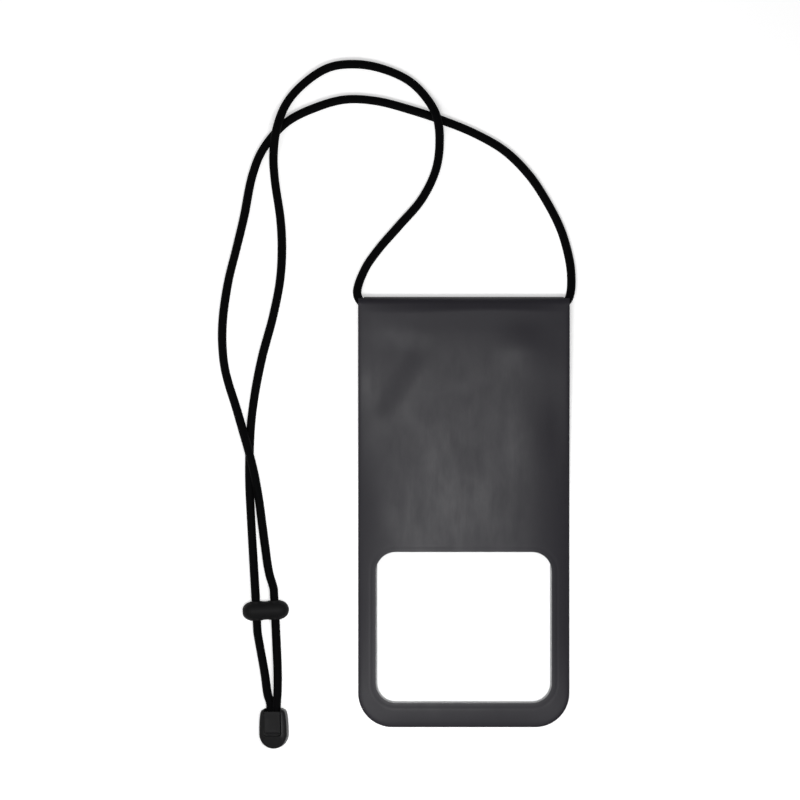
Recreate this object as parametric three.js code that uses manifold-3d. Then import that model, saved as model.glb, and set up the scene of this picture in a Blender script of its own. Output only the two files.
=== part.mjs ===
// Waterproof phone pouch with a neck cord, lying flat with its camera side up.
// Millimetres, +Z up. The origin is on the surface it lies on, under the middle of the pouch.
// +Y runs to the rolled fold.
import * as THREE from "three";
import { mergeVertices } from "three/addons/utils/BufferGeometryUtils.js";
import Module from "manifold-3d";

const wasm = await Module();
wasm.setup();

// Driving dimensions of the pouch
const pouchWidth = 105;
const pouchHeight = 214; // from the bottom edge to the rolled fold
const bottomCornerRadius = 17;
const weldWidth = 4; // the pressed margin round the pocket
const pocketSwell = 6; // how far the camera side stands off the display side in the middle
const swellRun = 30; // the length over which the swell grows from the bottom weld

// Camera window in the black sheet, and the clear opening of the display side
const windowWidth = 87.6;
const windowHeight = 75.2;
const windowRadius = 10;
const windowBorder = 12; // black sheet below the window
const windowOverlap = 3; // film behind the sheet all round the window
const displayWidth = 86;
const displayHeight = 157;
const displayRadius = 9.2;
const displayBorder = 12.8;

// Sheet thicknesses and the gap between sheets that lie on each other
const backSheet = 0.5;
const frameSheet = 0.4;
const clearFilm = 0.4;
const sheetGap = 0.15;

// Rolled fold, flap and closure
const flapLength = 35; // from the fold to the mouth
const flapLip = 1.5; // how much longer the black sheet is than the frame at the mouth
const notchDepth = 3.5; // slot along the fold at each end, where the cord comes out
const notchWidth = 5.2;
const closureInset = 3.2; // from the mouth to the hook and loop strips
const closureWidth = 13;
const closureSideGap = 6.5; // from the side welds to the ends of the strips
const closureThickness = 1.2;
const closureGap = 0.1;
const closureRadius = 1.5;

// Press seal: two ribs that snap into two grooves
const zipCentre = 12; // from the fold to the middle of the seal
const zipWidth = 7.2;
const zipSideGap = 5; // from the side welds to the ends of the seal
const zipBase = 0.4;
const zipPitch = 3.6;
const zipRibHeight = 1.1;
const zipClearance = 0.1;
const zipStem = 0.44;
const zipHead = 1;
const zipJawWall = 0.4;
const zipJawOpening = 0.72;
const zipRamp = 2.4; // the run over which the sheet climbs over the seal

// Cord and the sleeve that holds it in the fold
const cordDiameter = 4;
const cordSides = 8;
const cordSteps = 110;
const cordClearance = 0.3;
const sleeveWall = 0.5;
const sleeveSideGap = 2; // from the side welds to the ends of the sleeve
const sleeveFin = 7; // the double ply that is welded to the front, from the cord's axis
const sleeveFinThickness = 0.8;

// Slider
const sliderLength = 23;
const sliderDiameter = 9;
const sliderEndAngle = 75; // degrees of its round ends, up to their flat tips
const sliderSides = 20;
const sliderHoleSides = 16;
const strandSpacing = 9.2;
const sliderRim = 0.3;
const sliderRimRadius = 2.95;
const sliderDimpleRadius = 1.2;
const sliderDimpleDepth = 1;
const sliderTravel = 3; // how far it slides either way along the straight run of the strands
const straightSpare = 1; // straight strand beyond its collars at both ends of that travel
const straightGuide = 1.5; // from there to the next place on the route, still in line
const sliderPlace = new THREE.Vector3(-98.45, -48.8, sliderDiameter / 2);
const sliderTurn = THREE.MathUtils.degToRad(3);

// Cord end: a moulded trough with a snap lid
const endLength = 20.1;
const endWidth = 13.8;
const endThickness = 8.8;
const endShoulderWidth = 12.4;
const endShoulderDrop = 3.2; // from the neck to the shoulder
const endNeckWidth = 10;
const endWidest = 12.6; // from the neck to the widest place
const endRound = 1.9; // rounding of its long edges
const endWall = 0.7;
const endStrandClearance = 0.15;
const endTroughLength = 11.8;
const lidWidth = 7.9;
const lidHeight = 11.5;
const lidTop = 2; // from the neck to the lid
const lidThickness = 1.1;
const lidStand = 0.4; // how far the lid stands out of the face
const lidClearance = 0.2;
const lidRadius = 0.9;
const lidEdge = 0.3; // rounding of the lid's rim
const lidLegLength = 3;
const lidLegThickness = 0.7;
const lidLegWidth = 2.2;
const endTurn = THREE.MathUtils.degToRad(1);
const endRoll = THREE.MathUtils.degToRad(10); // its lid leans to the side away from the pouch
const endLean = (endWidth / 2 - endRound) * Math.sin(endRoll);
const endRest = endLean + (endThickness / 2 - endRound) * Math.cos(endRoll) + endRound;
const endPlace = new THREE.Vector3(-94.45, -97.2, endRest);
const endPose = new THREE.Euler(0, -endRoll, endTurn, "ZYX");
const strandApart = 3.6; // across, where the two strands enter the cord end
const strandRise = 1.9; // one above the other there
const strandIn = 8.5; // how far they reach into it
const strandGuide = 2.2; // how far inside and outside the neck they run along its axis

// Values that follow from the dimensions
const halfWidth = pouchWidth / 2;
const halfHeight = pouchHeight / 2;
const innerHalf = halfWidth - weldWidth;
const innerBottom = -halfHeight + weldWidth;
const closureLength = 2 * (innerHalf - closureSideGap);
const zipLength = 2 * (innerHalf - zipSideGap);
const sleeveLength = 2 * (innerHalf - sleeveSideGap);
const cordRadius = cordDiameter / 2;
const sleeveInner = cordRadius + cordClearance;
const sleeveOuter = sleeveInner + sleeveWall;
const creaseRadius = sleeveOuter + sheetGap;
const foldStack = frameSheet + sheetGap + backSheet;
const foldY = halfHeight - creaseRadius - foldStack;
const foldZ = foldStack + creaseRadius;
const flapFaceZ = foldStack;
const mouthY = halfHeight - flapLength;
const closureStart = mouthY + closureInset;
const closureEnd = closureStart + closureWidth;
const closureRise = flapFaceZ + 2 * sheetGap + 2 * closureThickness + closureGap;
const zipY = halfHeight - zipCentre;
const zipStack = 2 * sheetGap + 2 * zipBase + zipRibHeight + zipClearance;
const zipRise = zipStack - sheetGap;
const displayBottom = -halfHeight + displayBorder;
const filmTop = displayBottom + displayHeight + windowOverlap;
const liftStart = mouthY - swellRun;

// Basic shapes and solids
function roundedRect(width, height, radius, x = 0, y = 0) {
  const [a, b] = [width / 2 - radius, height / 2 - radius];
  const shape = new THREE.Shape();
  shape.absarc(x + a, y + b, radius, 0, Math.PI / 2);
  shape.absarc(x - a, y + b, radius, Math.PI / 2, Math.PI);
  shape.absarc(x - a, y - b, radius, Math.PI, 1.5 * Math.PI);
  shape.absarc(x + a, y - b, radius, 1.5 * Math.PI, 2 * Math.PI);
  shape.closePath();
  return shape;
}

function polygon(points) {
  return new THREE.Shape(points.map(([x, y]) => new THREE.Vector2(x, y)));
}

function prism(shape, low, high, curveSegments = 6) {
  const options = { depth: high - low, bevelEnabled: false, curveSegments };
  return new THREE.ExtrudeGeometry(shape, options).translate(0, 0, low);
}

// A profile drawn in Y and Z, extruded along X and centred on X = 0.
function bar(shape, length, curveSegments = 10) {
  const geometry = prism(shape, -length / 2, length / 2, curveSegments);
  const turned = new THREE.Matrix4().set(0, 0, 1, 0, 1, 0, 0, 0, 0, 1, 0, 0, 0, 0, 0, 1);
  return geometry.applyMatrix4(turned);
}

function toSolid(geometry) {
  const bare = geometry.clone();
  bare.deleteAttribute("normal");
  bare.deleteAttribute("uv");
  const merged = mergeVertices(bare, 1e-4);
  return new wasm.Manifold(
    new wasm.Mesh({
      numProp: 3,
      vertProperties: new Float32Array(merged.attributes.position.array),
      triVerts: new Uint32Array(merged.index.array),
    }),
  );
}

function toGeometry(solid) {
  const mesh = solid.getMesh();
  const geometry = new THREE.BufferGeometry();
  geometry.setAttribute("position", new THREE.BufferAttribute(new Float32Array(mesh.vertProperties), 3));
  geometry.setIndex(new THREE.BufferAttribute(new Uint32Array(mesh.triVerts), 1));
  geometry.computeVertexNormals();
  return geometry;
}

function cut(geometry, ...tools) {
  return toGeometry(tools.reduce((solid, tool) => solid.subtract(toSolid(tool)), toSolid(geometry)));
}

function smooth(t) {
  const c = THREE.MathUtils.clamp(t, 0, 1);
  return c * c * (3 - 2 * c);
}

function spread(from, to, steps) {
  return Array.from({ length: steps + 1 }, (_, i) => from + ((to - from) * i) / steps);
}

// The lay of the pouch: the face of its display side, as a line in Y and Z with its normal.
// It lies on the table, climbs over the flap, turns round the cord and comes back as the inside of the flap.
function faceHeight(y) {
  const overFlap = closureRise * smooth((y - liftStart) / (closureStart - liftStart));
  const intoFold = (foldZ + creaseRadius - closureRise) * smooth((y - closureEnd) / (foldY - closureEnd));
  return overFlap + intoFold;
}

function bodyRow(y) {
  const step = 0.01;
  const slope = (faceHeight(y + step) - faceHeight(y - step)) / (2 * step);
  const length = Math.hypot(1, slope);
  return { part: "body", y, z: faceHeight(y), ny: -slope / length, nz: 1 / length };
}

function foldRow(angle) {
  const [ny, nz] = [Math.cos(angle), Math.sin(angle)];
  return { part: "fold", y: foldY + creaseRadius * ny, z: foldZ + creaseRadius * nz, ny, nz };
}

function flapRow(y) {
  return { part: "flap", y, z: flapFaceZ, ny: 0, nz: -1 };
}

// Rows stand close together where the lay or the swell bends, and so do the columns near the side welds.
const swellSteps = [0, 0.2, 0.4, 0.6, 0.8, 0.95, 1];
const swellPower = 4;
const bottomRows = swellSteps.map((rise) => innerBottom + swellRun * (1 - (1 - rise) ** (1 / swellPower)));
const pocketRows = [
  -halfHeight,
  ...bottomRows,
  ...spread(innerBottom + swellRun, liftStart, 5).slice(1),
  ...spread(liftStart, mouthY, 4).slice(1),
].map(bodyRow);
const closureRows = [
  closureStart,
  (closureStart + closureEnd) / 2,
  ...spread(closureEnd, foldY, 6).slice(0, -1),
];
const foldRows = spread(Math.PI / 2, -Math.PI / 2, 8).map(foldRow);
const zipEdges = [zipY + zipWidth / 2, zipY - zipWidth / 2];
const flapYs = [
  ...spread(zipEdges[0] + zipRamp, zipEdges[0], 3),
  ...spread(zipEdges[1], zipEdges[1] - zipRamp, 3),
  closureStart,
];
const upperRows = [...closureRows.map(bodyRow), ...foldRows, ...flapYs.map(flapRow)];
const columnRises = [0, 0.15, 0.3, 0.45, 0.6, 0.75, 0.9, 0.99];
const halfColumns = columnRises.map((rise) => innerHalf * (1 - rise) ** (1 / swellPower));
const columns = [-halfWidth, ...halfColumns.map((x) => -x), 0, ...halfColumns.toReversed(), halfWidth];

// The swell of the camera side: full over the pocket, none at the welds and in the fold.
function swell(x, row) {
  if (row.part !== "body") return 0;
  const across = 1 - Math.min(1, Math.abs(x) / innerHalf) ** swellPower;
  const fromWeld = THREE.MathUtils.clamp(1 - (row.y - innerBottom) / swellRun, 0, 1);
  const toFold = 1 - smooth((row.y - liftStart) / (foldY - liftStart));
  return pocketSwell * across * (1 - fromWeld ** swellPower) * toFold;
}

// The frame's climb over the press seal, inside the flap.
function zipBump(x, row) {
  if (row.part !== "flap") return 0;
  const along = smooth((zipWidth / 2 + zipRamp - Math.abs(row.y - zipY)) / zipRamp);
  const across = smooth((innerHalf - Math.abs(x)) / (innerHalf - zipLength / 2 - sheetGap));
  return zipRise * along * across;
}

const frameInner = (x, row) => -zipBump(x, row);
const frameOuter = (x, row) => frameInner(x, row) + frameSheet;
const filmInner = () => frameSheet + sheetGap;
const filmOuter = () => filmInner() + clearFilm;
function backInner(x, row) {
  const overFilm = row.part === "body" ? 1 - smooth((row.y - filmTop) / (closureEnd - filmTop)) : 0;
  return frameSheet + sheetGap + (clearFilm + sheetGap) * overFilm + swell(x, row);
}
const backOuter = (x, row) => backInner(x, row) + backSheet;
const windowOuter = (x, row) => backInner(x, row) - sheetGap;
const windowInner = (x, row) => windowOuter(x, row) - clearFilm;

// A closed sheet over columns and rows, between two offsets along the lay's normal.
function sheet(across, rows, inner, outer) {
  const positions = [];
  for (const offset of [inner, outer])
    for (const row of rows)
      for (const x of across) {
        const off = offset(x, row);
        positions.push(x, row.y + row.ny * off, row.z + row.nz * off);
      }
  const wide = across.length;
  const layer = wide * rows.length;
  const at = (i, j, k) => k * layer + j * wide + i;
  const faces = [];
  const quad = (a, b, c, d) => faces.push(a, b, c, a, c, d);
  for (let j = 0; j < rows.length - 1; j++)
    for (let i = 0; i < wide - 1; i++) {
      quad(at(i, j, 1), at(i + 1, j, 1), at(i + 1, j + 1, 1), at(i, j + 1, 1));
      quad(at(i, j, 0), at(i, j + 1, 0), at(i + 1, j + 1, 0), at(i + 1, j, 0));
    }
  for (let j = 0; j < rows.length - 1; j++) {
    quad(at(0, j, 0), at(0, j, 1), at(0, j + 1, 1), at(0, j + 1, 0));
    quad(at(wide - 1, j, 0), at(wide - 1, j + 1, 0), at(wide - 1, j + 1, 1), at(wide - 1, j, 1));
  }
  const last = rows.length - 1;
  for (let i = 0; i < wide - 1; i++) {
    quad(at(i, 0, 0), at(i + 1, 0, 0), at(i + 1, 0, 1), at(i, 0, 1));
    quad(at(i, last, 0), at(i, last, 1), at(i + 1, last, 1), at(i + 1, last, 0));
  }
  const geometry = new THREE.BufferGeometry();
  geometry.setAttribute("position", new THREE.Float32BufferAttribute(positions, 3));
  geometry.setIndex(faces);
  return geometry;
}

// Cutters for the outline: the two rounded bottom corners, and the cord's slots along the fold.
const beyond = 2;
const tall = 4 * (foldZ + pocketSwell);

function cornerCutter(side) {
  const centre = halfWidth - bottomCornerRadius;
  const shape = new THREE.Shape();
  shape.moveTo(halfWidth, -halfHeight + bottomCornerRadius);
  shape.absarc(centre, -halfHeight + bottomCornerRadius, bottomCornerRadius, 0, -Math.PI / 2, true);
  shape.lineTo(centre, -halfHeight - beyond);
  shape.lineTo(halfWidth + beyond, -halfHeight - beyond);
  shape.lineTo(halfWidth + beyond, -halfHeight + bottomCornerRadius);
  shape.closePath();
  const cutter = prism(shape, -beyond, tall, 10);
  return side > 0 ? cutter : cutter.rotateY(Math.PI).translate(0, 0, tall - beyond);
}

function notchCutter(side) {
  const box = new THREE.BoxGeometry(notchDepth + beyond, creaseRadius + foldStack + beyond, notchWidth);
  const y = foldY + (creaseRadius + foldStack + beyond) / 2;
  return box.translate(side * (halfWidth - notchDepth + (notchDepth + beyond) / 2), y, foldZ);
}

const outlineCutters = [cornerCutter(-1), cornerCutter(1)];
const foldCutters = [notchCutter(-1), notchCutter(1)];

function windowShape(margin = 0) {
  const y = -halfHeight + windowBorder + windowHeight / 2;
  return roundedRect(windowWidth + 2 * margin, windowHeight + 2 * margin, windowRadius + margin, 0, y);
}

// Black sheet with the camera window, from the bottom weld round the fold to the mouth
function backPanel() {
  const rows = [...pocketRows, ...upperRows, flapRow(mouthY)];
  const blank = sheet(columns, rows, backInner, backOuter);
  return cut(blank, ...outlineCutters, ...foldCutters, prism(windowShape(), -beyond, tall));
}

// Clear film behind the camera window
function cameraWindow() {
  const rows = pocketRows.filter((row) => row.y > -halfHeight && row.y <= liftStart);
  const blank = sheet(columns.slice(1, -1), rows, windowInner, windowOuter);
  return toGeometry(toSolid(blank).intersect(toSolid(prism(windowShape(windowOverlap), -beyond, tall))));
}

// Clear front wall of the pocket
function displayWindow() {
  const rows = [...pocketRows.filter((row) => row.y < filmTop), bodyRow(filmTop)];
  const across = [-halfWidth, -innerHalf, 0, innerHalf, halfWidth];
  return cut(sheet(across, rows, filmInner, filmOuter), ...outlineCutters);
}

// Black border of the front, which turns round the fold as the inner layer of the flap
function frontFrame() {
  const rows = [...pocketRows, ...upperRows, flapRow(mouthY + flapLip)];
  const y = displayBottom + displayHeight / 2;
  const opening = prism(roundedRect(displayWidth, displayHeight, displayRadius, 0, y), -beyond, tall);
  return cut(sheet(columns, rows, frameInner, frameOuter), ...outlineCutters, ...foldCutters, opening);
}

// Hook and loop strips that hold the rolled mouth
function closureStrip(low) {
  const y = (closureStart + closureEnd) / 2;
  return prism(roundedRect(closureLength, closureWidth, closureRadius, 0, y), low, low + closureThickness, 4);
}

const hookLow = flapFaceZ + sheetGap;
const loopLow = hookLow + closureThickness + closureGap;

// Press seal strips, drawn in Y and Z. The grooves lie on the outer sheet and the ribs hang into them.
const grooveLow = backSheet + sheetGap;
const ribHigh = grooveLow + zipStack - 2 * sheetGap;
const zipTracks = [zipY - zipPitch / 2, zipY + zipPitch / 2];

// Half of a track's profile and its mirror image, moved to the track's place.
function trackProfile(half, place) {
  const whole = [...half, ...half.toReversed().map(([y, z]) => [-y, z])];
  return whole.map(([y, z]) => [place + y, z]);
}

function grooveStrip() {
  const floor = grooveLow + zipBase;
  const top = floor + zipRibHeight;
  const inner = zipHead / 2 + zipClearance;
  const outer = inner + zipJawWall;
  const lip = zipJawOpening / 2;
  const lipLow = top - zipJawWall;
  const jaw = [
    [outer, floor], [outer, lipLow], [lip + zipJawWall / 2, top],
    [lip, lipLow + zipJawWall / 2], [inner, lipLow], [inner, floor],
  ];
  const [high, low] = zipEdges;
  const outline = [[low, grooveLow], [high, grooveLow], [high, floor]];
  for (const track of zipTracks.toReversed()) outline.push(...trackProfile(jaw, track));
  outline.push([low, floor]);
  return bar(polygon(outline), zipLength);
}

function ribStrip() {
  const base = ribHigh - zipBase;
  const tip = grooveLow + zipBase + zipClearance;
  const neck = base - zipClearance - zipJawWall;
  const [stem, head] = [-zipStem / 2, -zipHead / 2];
  const rib = [[stem, base], [stem, neck], [head, neck - zipClearance], [stem, tip]];
  const [high, low] = zipEdges;
  const outline = [[high, ribHigh], [low, ribHigh], [low, base]];
  for (const track of zipTracks) outline.push(...trackProfile(rib, track));
  outline.push([high, base]);
  return bar(polygon(outline), zipLength);
}

// Sleeve round the cord in the fold, with the fin that is welded to the front
function cordSleeve() {
  const ys = spread(foldY - sleeveFin, foldY, 5);
  const upper = ys.map((y) => [y, faceHeight(y) - sheetGap]);
  const lower = ys.toReversed().map((y) => [y, faceHeight(y) - sheetGap - sleeveFinThickness]);
  const fin = bar(polygon([...upper, ...lower]), sleeveLength);
  const round = (radius) => new THREE.Shape().absarc(foldY, foldZ, radius, 0, 2 * Math.PI);
  const tube = bar(round(sleeveOuter), sleeveLength);
  const bore = bar(round(sleeveInner), sleeveLength + beyond);
  return toGeometry(toSolid(fin).add(toSolid(tube)).subtract(toSolid(bore)));
}

// Route of the cord, as points chosen by eye. It starts in the cord end, passes the slider, makes the outer
// loop, runs through the fold and comes back by the inner loop, the slider and the cord end. It lies on the
// surface, and rises over itself at three crossings.
const lie = cordRadius + 0.05;
const over = lie + cordDiameter + 0.35;
const strandDirection = new THREE.Vector3(Math.sin(sliderTurn), -Math.cos(sliderTurn), 0);
const strandAcross = new THREE.Vector3(Math.cos(sliderTurn), Math.sin(sliderTurn), 0);
const straightHalf = sliderDiameter / 2 + sliderRim + sliderTravel + straightSpare;
const straightEnd = straightHalf + straightGuide;
// Places along a strand, from the slider's middle, that keep it straight there
const straightRun = [-straightEnd, -straightHalf, straightHalf, straightEnd];

function strandAtSlider(side) {
  const middle = sliderPlace.clone().addScaledVector(strandAcross, (side * strandSpacing) / 2);
  return straightRun.map((along) => middle.clone().addScaledVector(strandDirection, along).toArray());
}

function strandInEnd(side) {
  const [x, z] = [(side * strandApart) / 2, (side * strandRise) / 2];
  const seat = (y) => new THREE.Vector3(x, y, z).applyEuler(endPose).add(endPlace).toArray();
  return [-strandIn, -strandGuide, strandGuide].map(seat);
}

// The strands between the slider and the cord end, and the two loops
const toEndLeft = [[-98.9, -80, 4.2], [-97.4, -90.5, 4.05]];
const toEndRight = [[-92.4, -81, 5.6], [-92.5, -90, 6.2]];
const outerLoop = [
  [-105.7, -4, lie], [-106.5, 14, lie], [-106.5, 28.9, lie], [-105.8, 43, lie], [-104, 57.8, lie],
  [-100.4, 76.4, lie], [-94.9, 96.9, lie], [-91.3, 115.4, lie], [-90.4, 131, lie], [-91.1, 145.3, lie],
  [-93.9, 164.9, lie], [-94.6, 176.5, lie], [-93.1, 189.4, over], [-88.3, 202.8, lie], [-79.5, 213, lie],
  [-66.9, 221, lie], [-53.3, 222.6, lie], [-39.7, 220.1, lie], [-26.6, 213.9, lie], [-17.8, 204.7, 3.1],
  [-13.3, 195.7, over], [-12, 183.9, lie], [-13.9, 170.1, lie], [-21, 155.4, lie], [-32.5, 142, lie],
  [-42.4, 130.6, lie], [-49.2, 120.6, 2.6],
];
const innerLoop = [
  [53.3, 119, 3], [51.9, 128.1, 2.3], [48.3, 140.2, lie], [42, 153, lie], [32.7, 167.2, lie],
  [20.5, 179.4, lie], [6, 187.9, lie], [-10.3, 194.6, lie], [-26.6, 200, lie], [-43.4, 204.3, lie],
  [-58.6, 205.1, lie], [-72, 201.7, lie], [-87.9, 193.9, lie], [-99.8, 180.3, lie], [-105, 167.6, lie],
  [-109.4, 146, lie], [-113.3, 129.9, lie], [-116.9, 115.4, lie], [-119.5, 98.7, lie], [-120.1, 86, lie],
  [-119.1, 73.3, lie], [-117.3, 65.2, lie], [-113.2, 52.1, lie], [-110.2, 42, 3.8], [-106.4, 28.9, over],
  [-103.8, 18, 5.1], [-101.8, 6, 2.6], [-100.1, -7, lie], [-98.9, -16, lie], [-96.8, -30, 3],
];
const mouthBend = 6; // radius of the cord's turn out of the fold
const bendStart = halfWidth - notchDepth - cordRadius;

function foldMouth(side) {
  const half = mouthBend * Math.SQRT1_2;
  return [
    [side * (bendStart + mouthBend), foldY + mouthBend, foldZ],
    [side * (bendStart + half), foldY + mouthBend - half, foldZ],
    [side * bendStart, foldY, foldZ],
    [side * (bendStart - cordDiameter), foldY, foldZ],
  ];
}

const route = [
  ...strandInEnd(-1),
  ...toEndLeft.toReversed(),
  ...strandAtSlider(-1).toReversed(),
  ...outerLoop,
  ...foldMouth(-1),
  ...foldMouth(1).toReversed(),
  ...innerLoop,
  ...strandAtSlider(1),
  ...toEndRight,
  ...strandInEnd(1).toReversed(),
];

const shortStride = 0.8 * cordDiameter;
const longStride = 4 * cordDiameter;

// A spline through the route, held up by the surface it lies on.
// Its even parameter steps are short where it bends sharply.
class CordLine extends THREE.Curve {
  constructor(points) {
    super();
    const vectors = points.map((point) => new THREE.Vector3(...point));
    this.spline = new THREE.CatmullRomCurve3(vectors, false, "centripetal");
    this.spline.arcLengthDivisions = 3000;
    const samples = 1500;
    const piece = this.spline.getLength() / samples;
    const tangents = spread(0, 1, samples).map((u) => this.spline.getTangentAt(u));
    this.stations = [0];
    for (let i = 0; i < samples; i++) {
      const radius = piece / Math.max(tangents[i].angleTo(tangents[i + 1]), 1e-6);
      const stride = THREE.MathUtils.clamp(radius / 2, shortStride, longStride);
      this.stations.push(this.stations[i] + piece / stride);
    }
  }

  place(t) {
    const wanted = t * this.stations.at(-1);
    const next = this.stations.findIndex((station) => station >= wanted);
    if (next <= 0) return 0;
    const [low, high] = [this.stations[next - 1], this.stations[next]];
    return (next - 1 + (wanted - low) / (high - low)) / (this.stations.length - 1);
  }

  getPoint(t) {
    const point = this.spline.getPointAt(this.place(t));
    return point.setZ(Math.max(point.z, lie));
  }

  getPointAt(t) {
    return this.getPoint(t);
  }

  getTangentAt(t) {
    return this.spline.getTangentAt(this.place(t));
  }
}

function neckCord() {
  const corners = spread(0, 2 * Math.PI, cordSides).slice(0, -1);
  const section = polygon(corners.map((turn) => [cordRadius * Math.cos(turn), cordRadius * Math.sin(turn)]));
  const options = { steps: cordSteps, bevelEnabled: false, extrudePath: new CordLine(route) };
  return new THREE.ExtrudeGeometry(section, options);
}

// Pill-shaped slider along X with two holes across it, each with a raised rim
function slider() {
  const radius = sliderDiameter / 2;
  const straight = sliderLength / 2 - radius;
  const profile = [new THREE.Vector2(0, -sliderLength / 2)];
  for (const angle of spread(-sliderEndAngle, 0, 5).map(THREE.MathUtils.degToRad))
    profile.push(new THREE.Vector2(radius * Math.cos(angle), -straight + radius * Math.sin(angle)));
  for (const angle of spread(0, sliderEndAngle, 5).map(THREE.MathUtils.degToRad))
    profile.push(new THREE.Vector2(radius * Math.cos(angle), straight + radius * Math.sin(angle)));
  profile.push(new THREE.Vector2(0, sliderLength / 2));
  let solid = toSolid(new THREE.LatheGeometry(profile, sliderSides).rotateZ(Math.PI / 2));
  const across = (size, length, x) =>
    toSolid(new THREE.CylinderGeometry(size, size, length, sliderHoleSides).translate(x, 0, 0));
  const strands = [-strandSpacing / 2, strandSpacing / 2];
  const hole = cordRadius + cordClearance;
  for (const x of strands) solid = solid.add(across(sliderRimRadius, sliderDiameter + 2 * sliderRim, x));
  for (const x of strands) solid = solid.subtract(across(hole, sliderDiameter + beyond, x));
  const dimple = across(sliderDimpleRadius, 2 * sliderDimpleDepth, 0).rotate([0, 0, 90]);
  return toGeometry(solid.subtract(dimple.translate([-sliderLength / 2, 0, 0])));
}

// Cord end, drawn with its neck at Y = 0 and its nose towards -Y, its middle plane at Z = 0
function endOutline(inset) {
  const [neck, shoulder, wide] = [endNeckWidth, endShoulderWidth, endWidth].map((width) => width / 2 - inset);
  const nose = -endLength + inset;
  const drop = endShoulderDrop + inset;
  const flare = (2 / 3) * endShoulderDrop + inset;
  const shape = new THREE.Shape();
  shape.moveTo(-neck, -inset);
  shape.lineTo(neck, -inset);
  shape.quadraticCurveTo(neck, -flare, shoulder, -drop);
  shape.quadraticCurveTo(wide, -endWidest / 2, wide, -endWidest);
  shape.absellipse(0, -endWidest, wide, -nose - endWidest, 0, -Math.PI, true, 0);
  shape.quadraticCurveTo(-wide, -endWidest / 2, -shoulder, -drop);
  shape.quadraticCurveTo(-neck, -flare, -neck, -inset);
  return shape;
}

const lidMiddle = -lidTop - lidHeight / 2;
const troughHalf = strandApart / 2 + cordRadius + endStrandClearance;
const faceZ = endThickness / 2;

function lidShape(margin) {
  return roundedRect(lidWidth + 2 * margin, lidHeight + 2 * margin, lidRadius + margin, 0, lidMiddle);
}

function cordEndBody() {
  const body = new THREE.ExtrudeGeometry(endOutline(endRound), {
    depth: endThickness - 2 * endRound,
    bevelThickness: endRound,
    bevelSize: endRound,
    bevelSegments: 3,
    curveSegments: 6,
  }).translate(0, 0, -faceZ + endRound);
  const [side, low, high] = [troughHalf, -endTroughLength, beyond];
  const opening = polygon([[-side, low], [side, low], [side, high], [-side, high]]);
  const trough = prism(opening, -faceZ + endWall, faceZ + beyond);
  const seatLow = faceZ + lidStand - lidThickness - lidClearance;
  return cut(body, trough, prism(lidShape(lidClearance), seatLow, faceZ + beyond, 3));
}

function cordEndLid() {
  const low = faceZ + lidStand - lidThickness;
  const plate = new THREE.ExtrudeGeometry(lidShape(-lidEdge), {
    depth: lidThickness - 2 * lidEdge,
    bevelThickness: lidEdge,
    bevelSize: lidEdge,
    bevelSegments: 2,
    curveSegments: 3,
  }).translate(0, 0, low + lidEdge);
  const legY = -endTroughLength + lidClearance + lidLegWidth / 2;
  const legX = troughHalf - lidClearance - lidLegThickness / 2;
  const leg = (side) =>
    toSolid(
      new THREE.BoxGeometry(lidLegThickness, lidLegWidth, lidLegLength + lidEdge).translate(
        side * legX,
        legY,
        low + lidEdge - (lidLegLength + lidEdge) / 2,
      ),
    );
  return toGeometry(toSolid(plate).add(leg(-1)).add(leg(1)));
}

// Materials
function finish(color, roughness, extra = {}) {
  return new THREE.MeshStandardMaterial({ color, roughness, metalness: 0, ...extra });
}

const blackSheet = finish(0x3b3c40, 0.5);
const clearSheet = finish(0xf4f7f8, 0.1, { transparent: true, opacity: 0.25 });
const sealPlastic = finish(0xdfe4e6, 0.35);
const hookFabric = finish(0x1a1a1c, 0.9);
const cordFabric = finish(0x0d0d0e, 0.85);
const mouldedBlack = finish(0x222325, 0.4);

function part(name, geometry, material) {
  const mesh = new THREE.Mesh(geometry, material);
  mesh.name = name;
  return mesh;
}

const pouch = new THREE.Group();
pouch.add(
  part("back_panel", backPanel(), blackSheet),
  part("camera_window", cameraWindow(), clearSheet),
  part("display_window", displayWindow(), clearSheet),
  part("front_frame", frontFrame(), blackSheet),
  part("hook_strip", closureStrip(hookLow), hookFabric),
  part("loop_strip", closureStrip(loopLow), hookFabric),
  part("zip_groove_strip", grooveStrip(), sealPlastic),
  part("zip_rib_strip", ribStrip(), sealPlastic),
  part("cord_sleeve", cordSleeve(), blackSheet),
  part("neck_cord", neckCord(), cordFabric),
);

const cordSlider = part("cord_slider", slider(), mouldedBlack);
cordSlider.position.copy(sliderPlace);
cordSlider.rotation.z = sliderTurn;

const cordEnd = new THREE.Group();
cordEnd.position.copy(endPlace);
cordEnd.rotation.copy(endPose);
cordEnd.add(
  part("cord_end_body", cordEndBody(), mouldedBlack),
  part("cord_end_lid", cordEndLid(), mouldedBlack),
);

const phonePouch = new THREE.Group();
phonePouch.add(pouch, cordSlider, cordEnd);

export default phonePouch;
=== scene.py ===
"""Waterproof phone pouch with a neck cord, laid flat with its camera side up.

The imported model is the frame. Its sheets, films, cord and mouldings are dressed here, in metres, with +Z up
and +Y towards the rolled fold.
"""
import math

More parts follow.
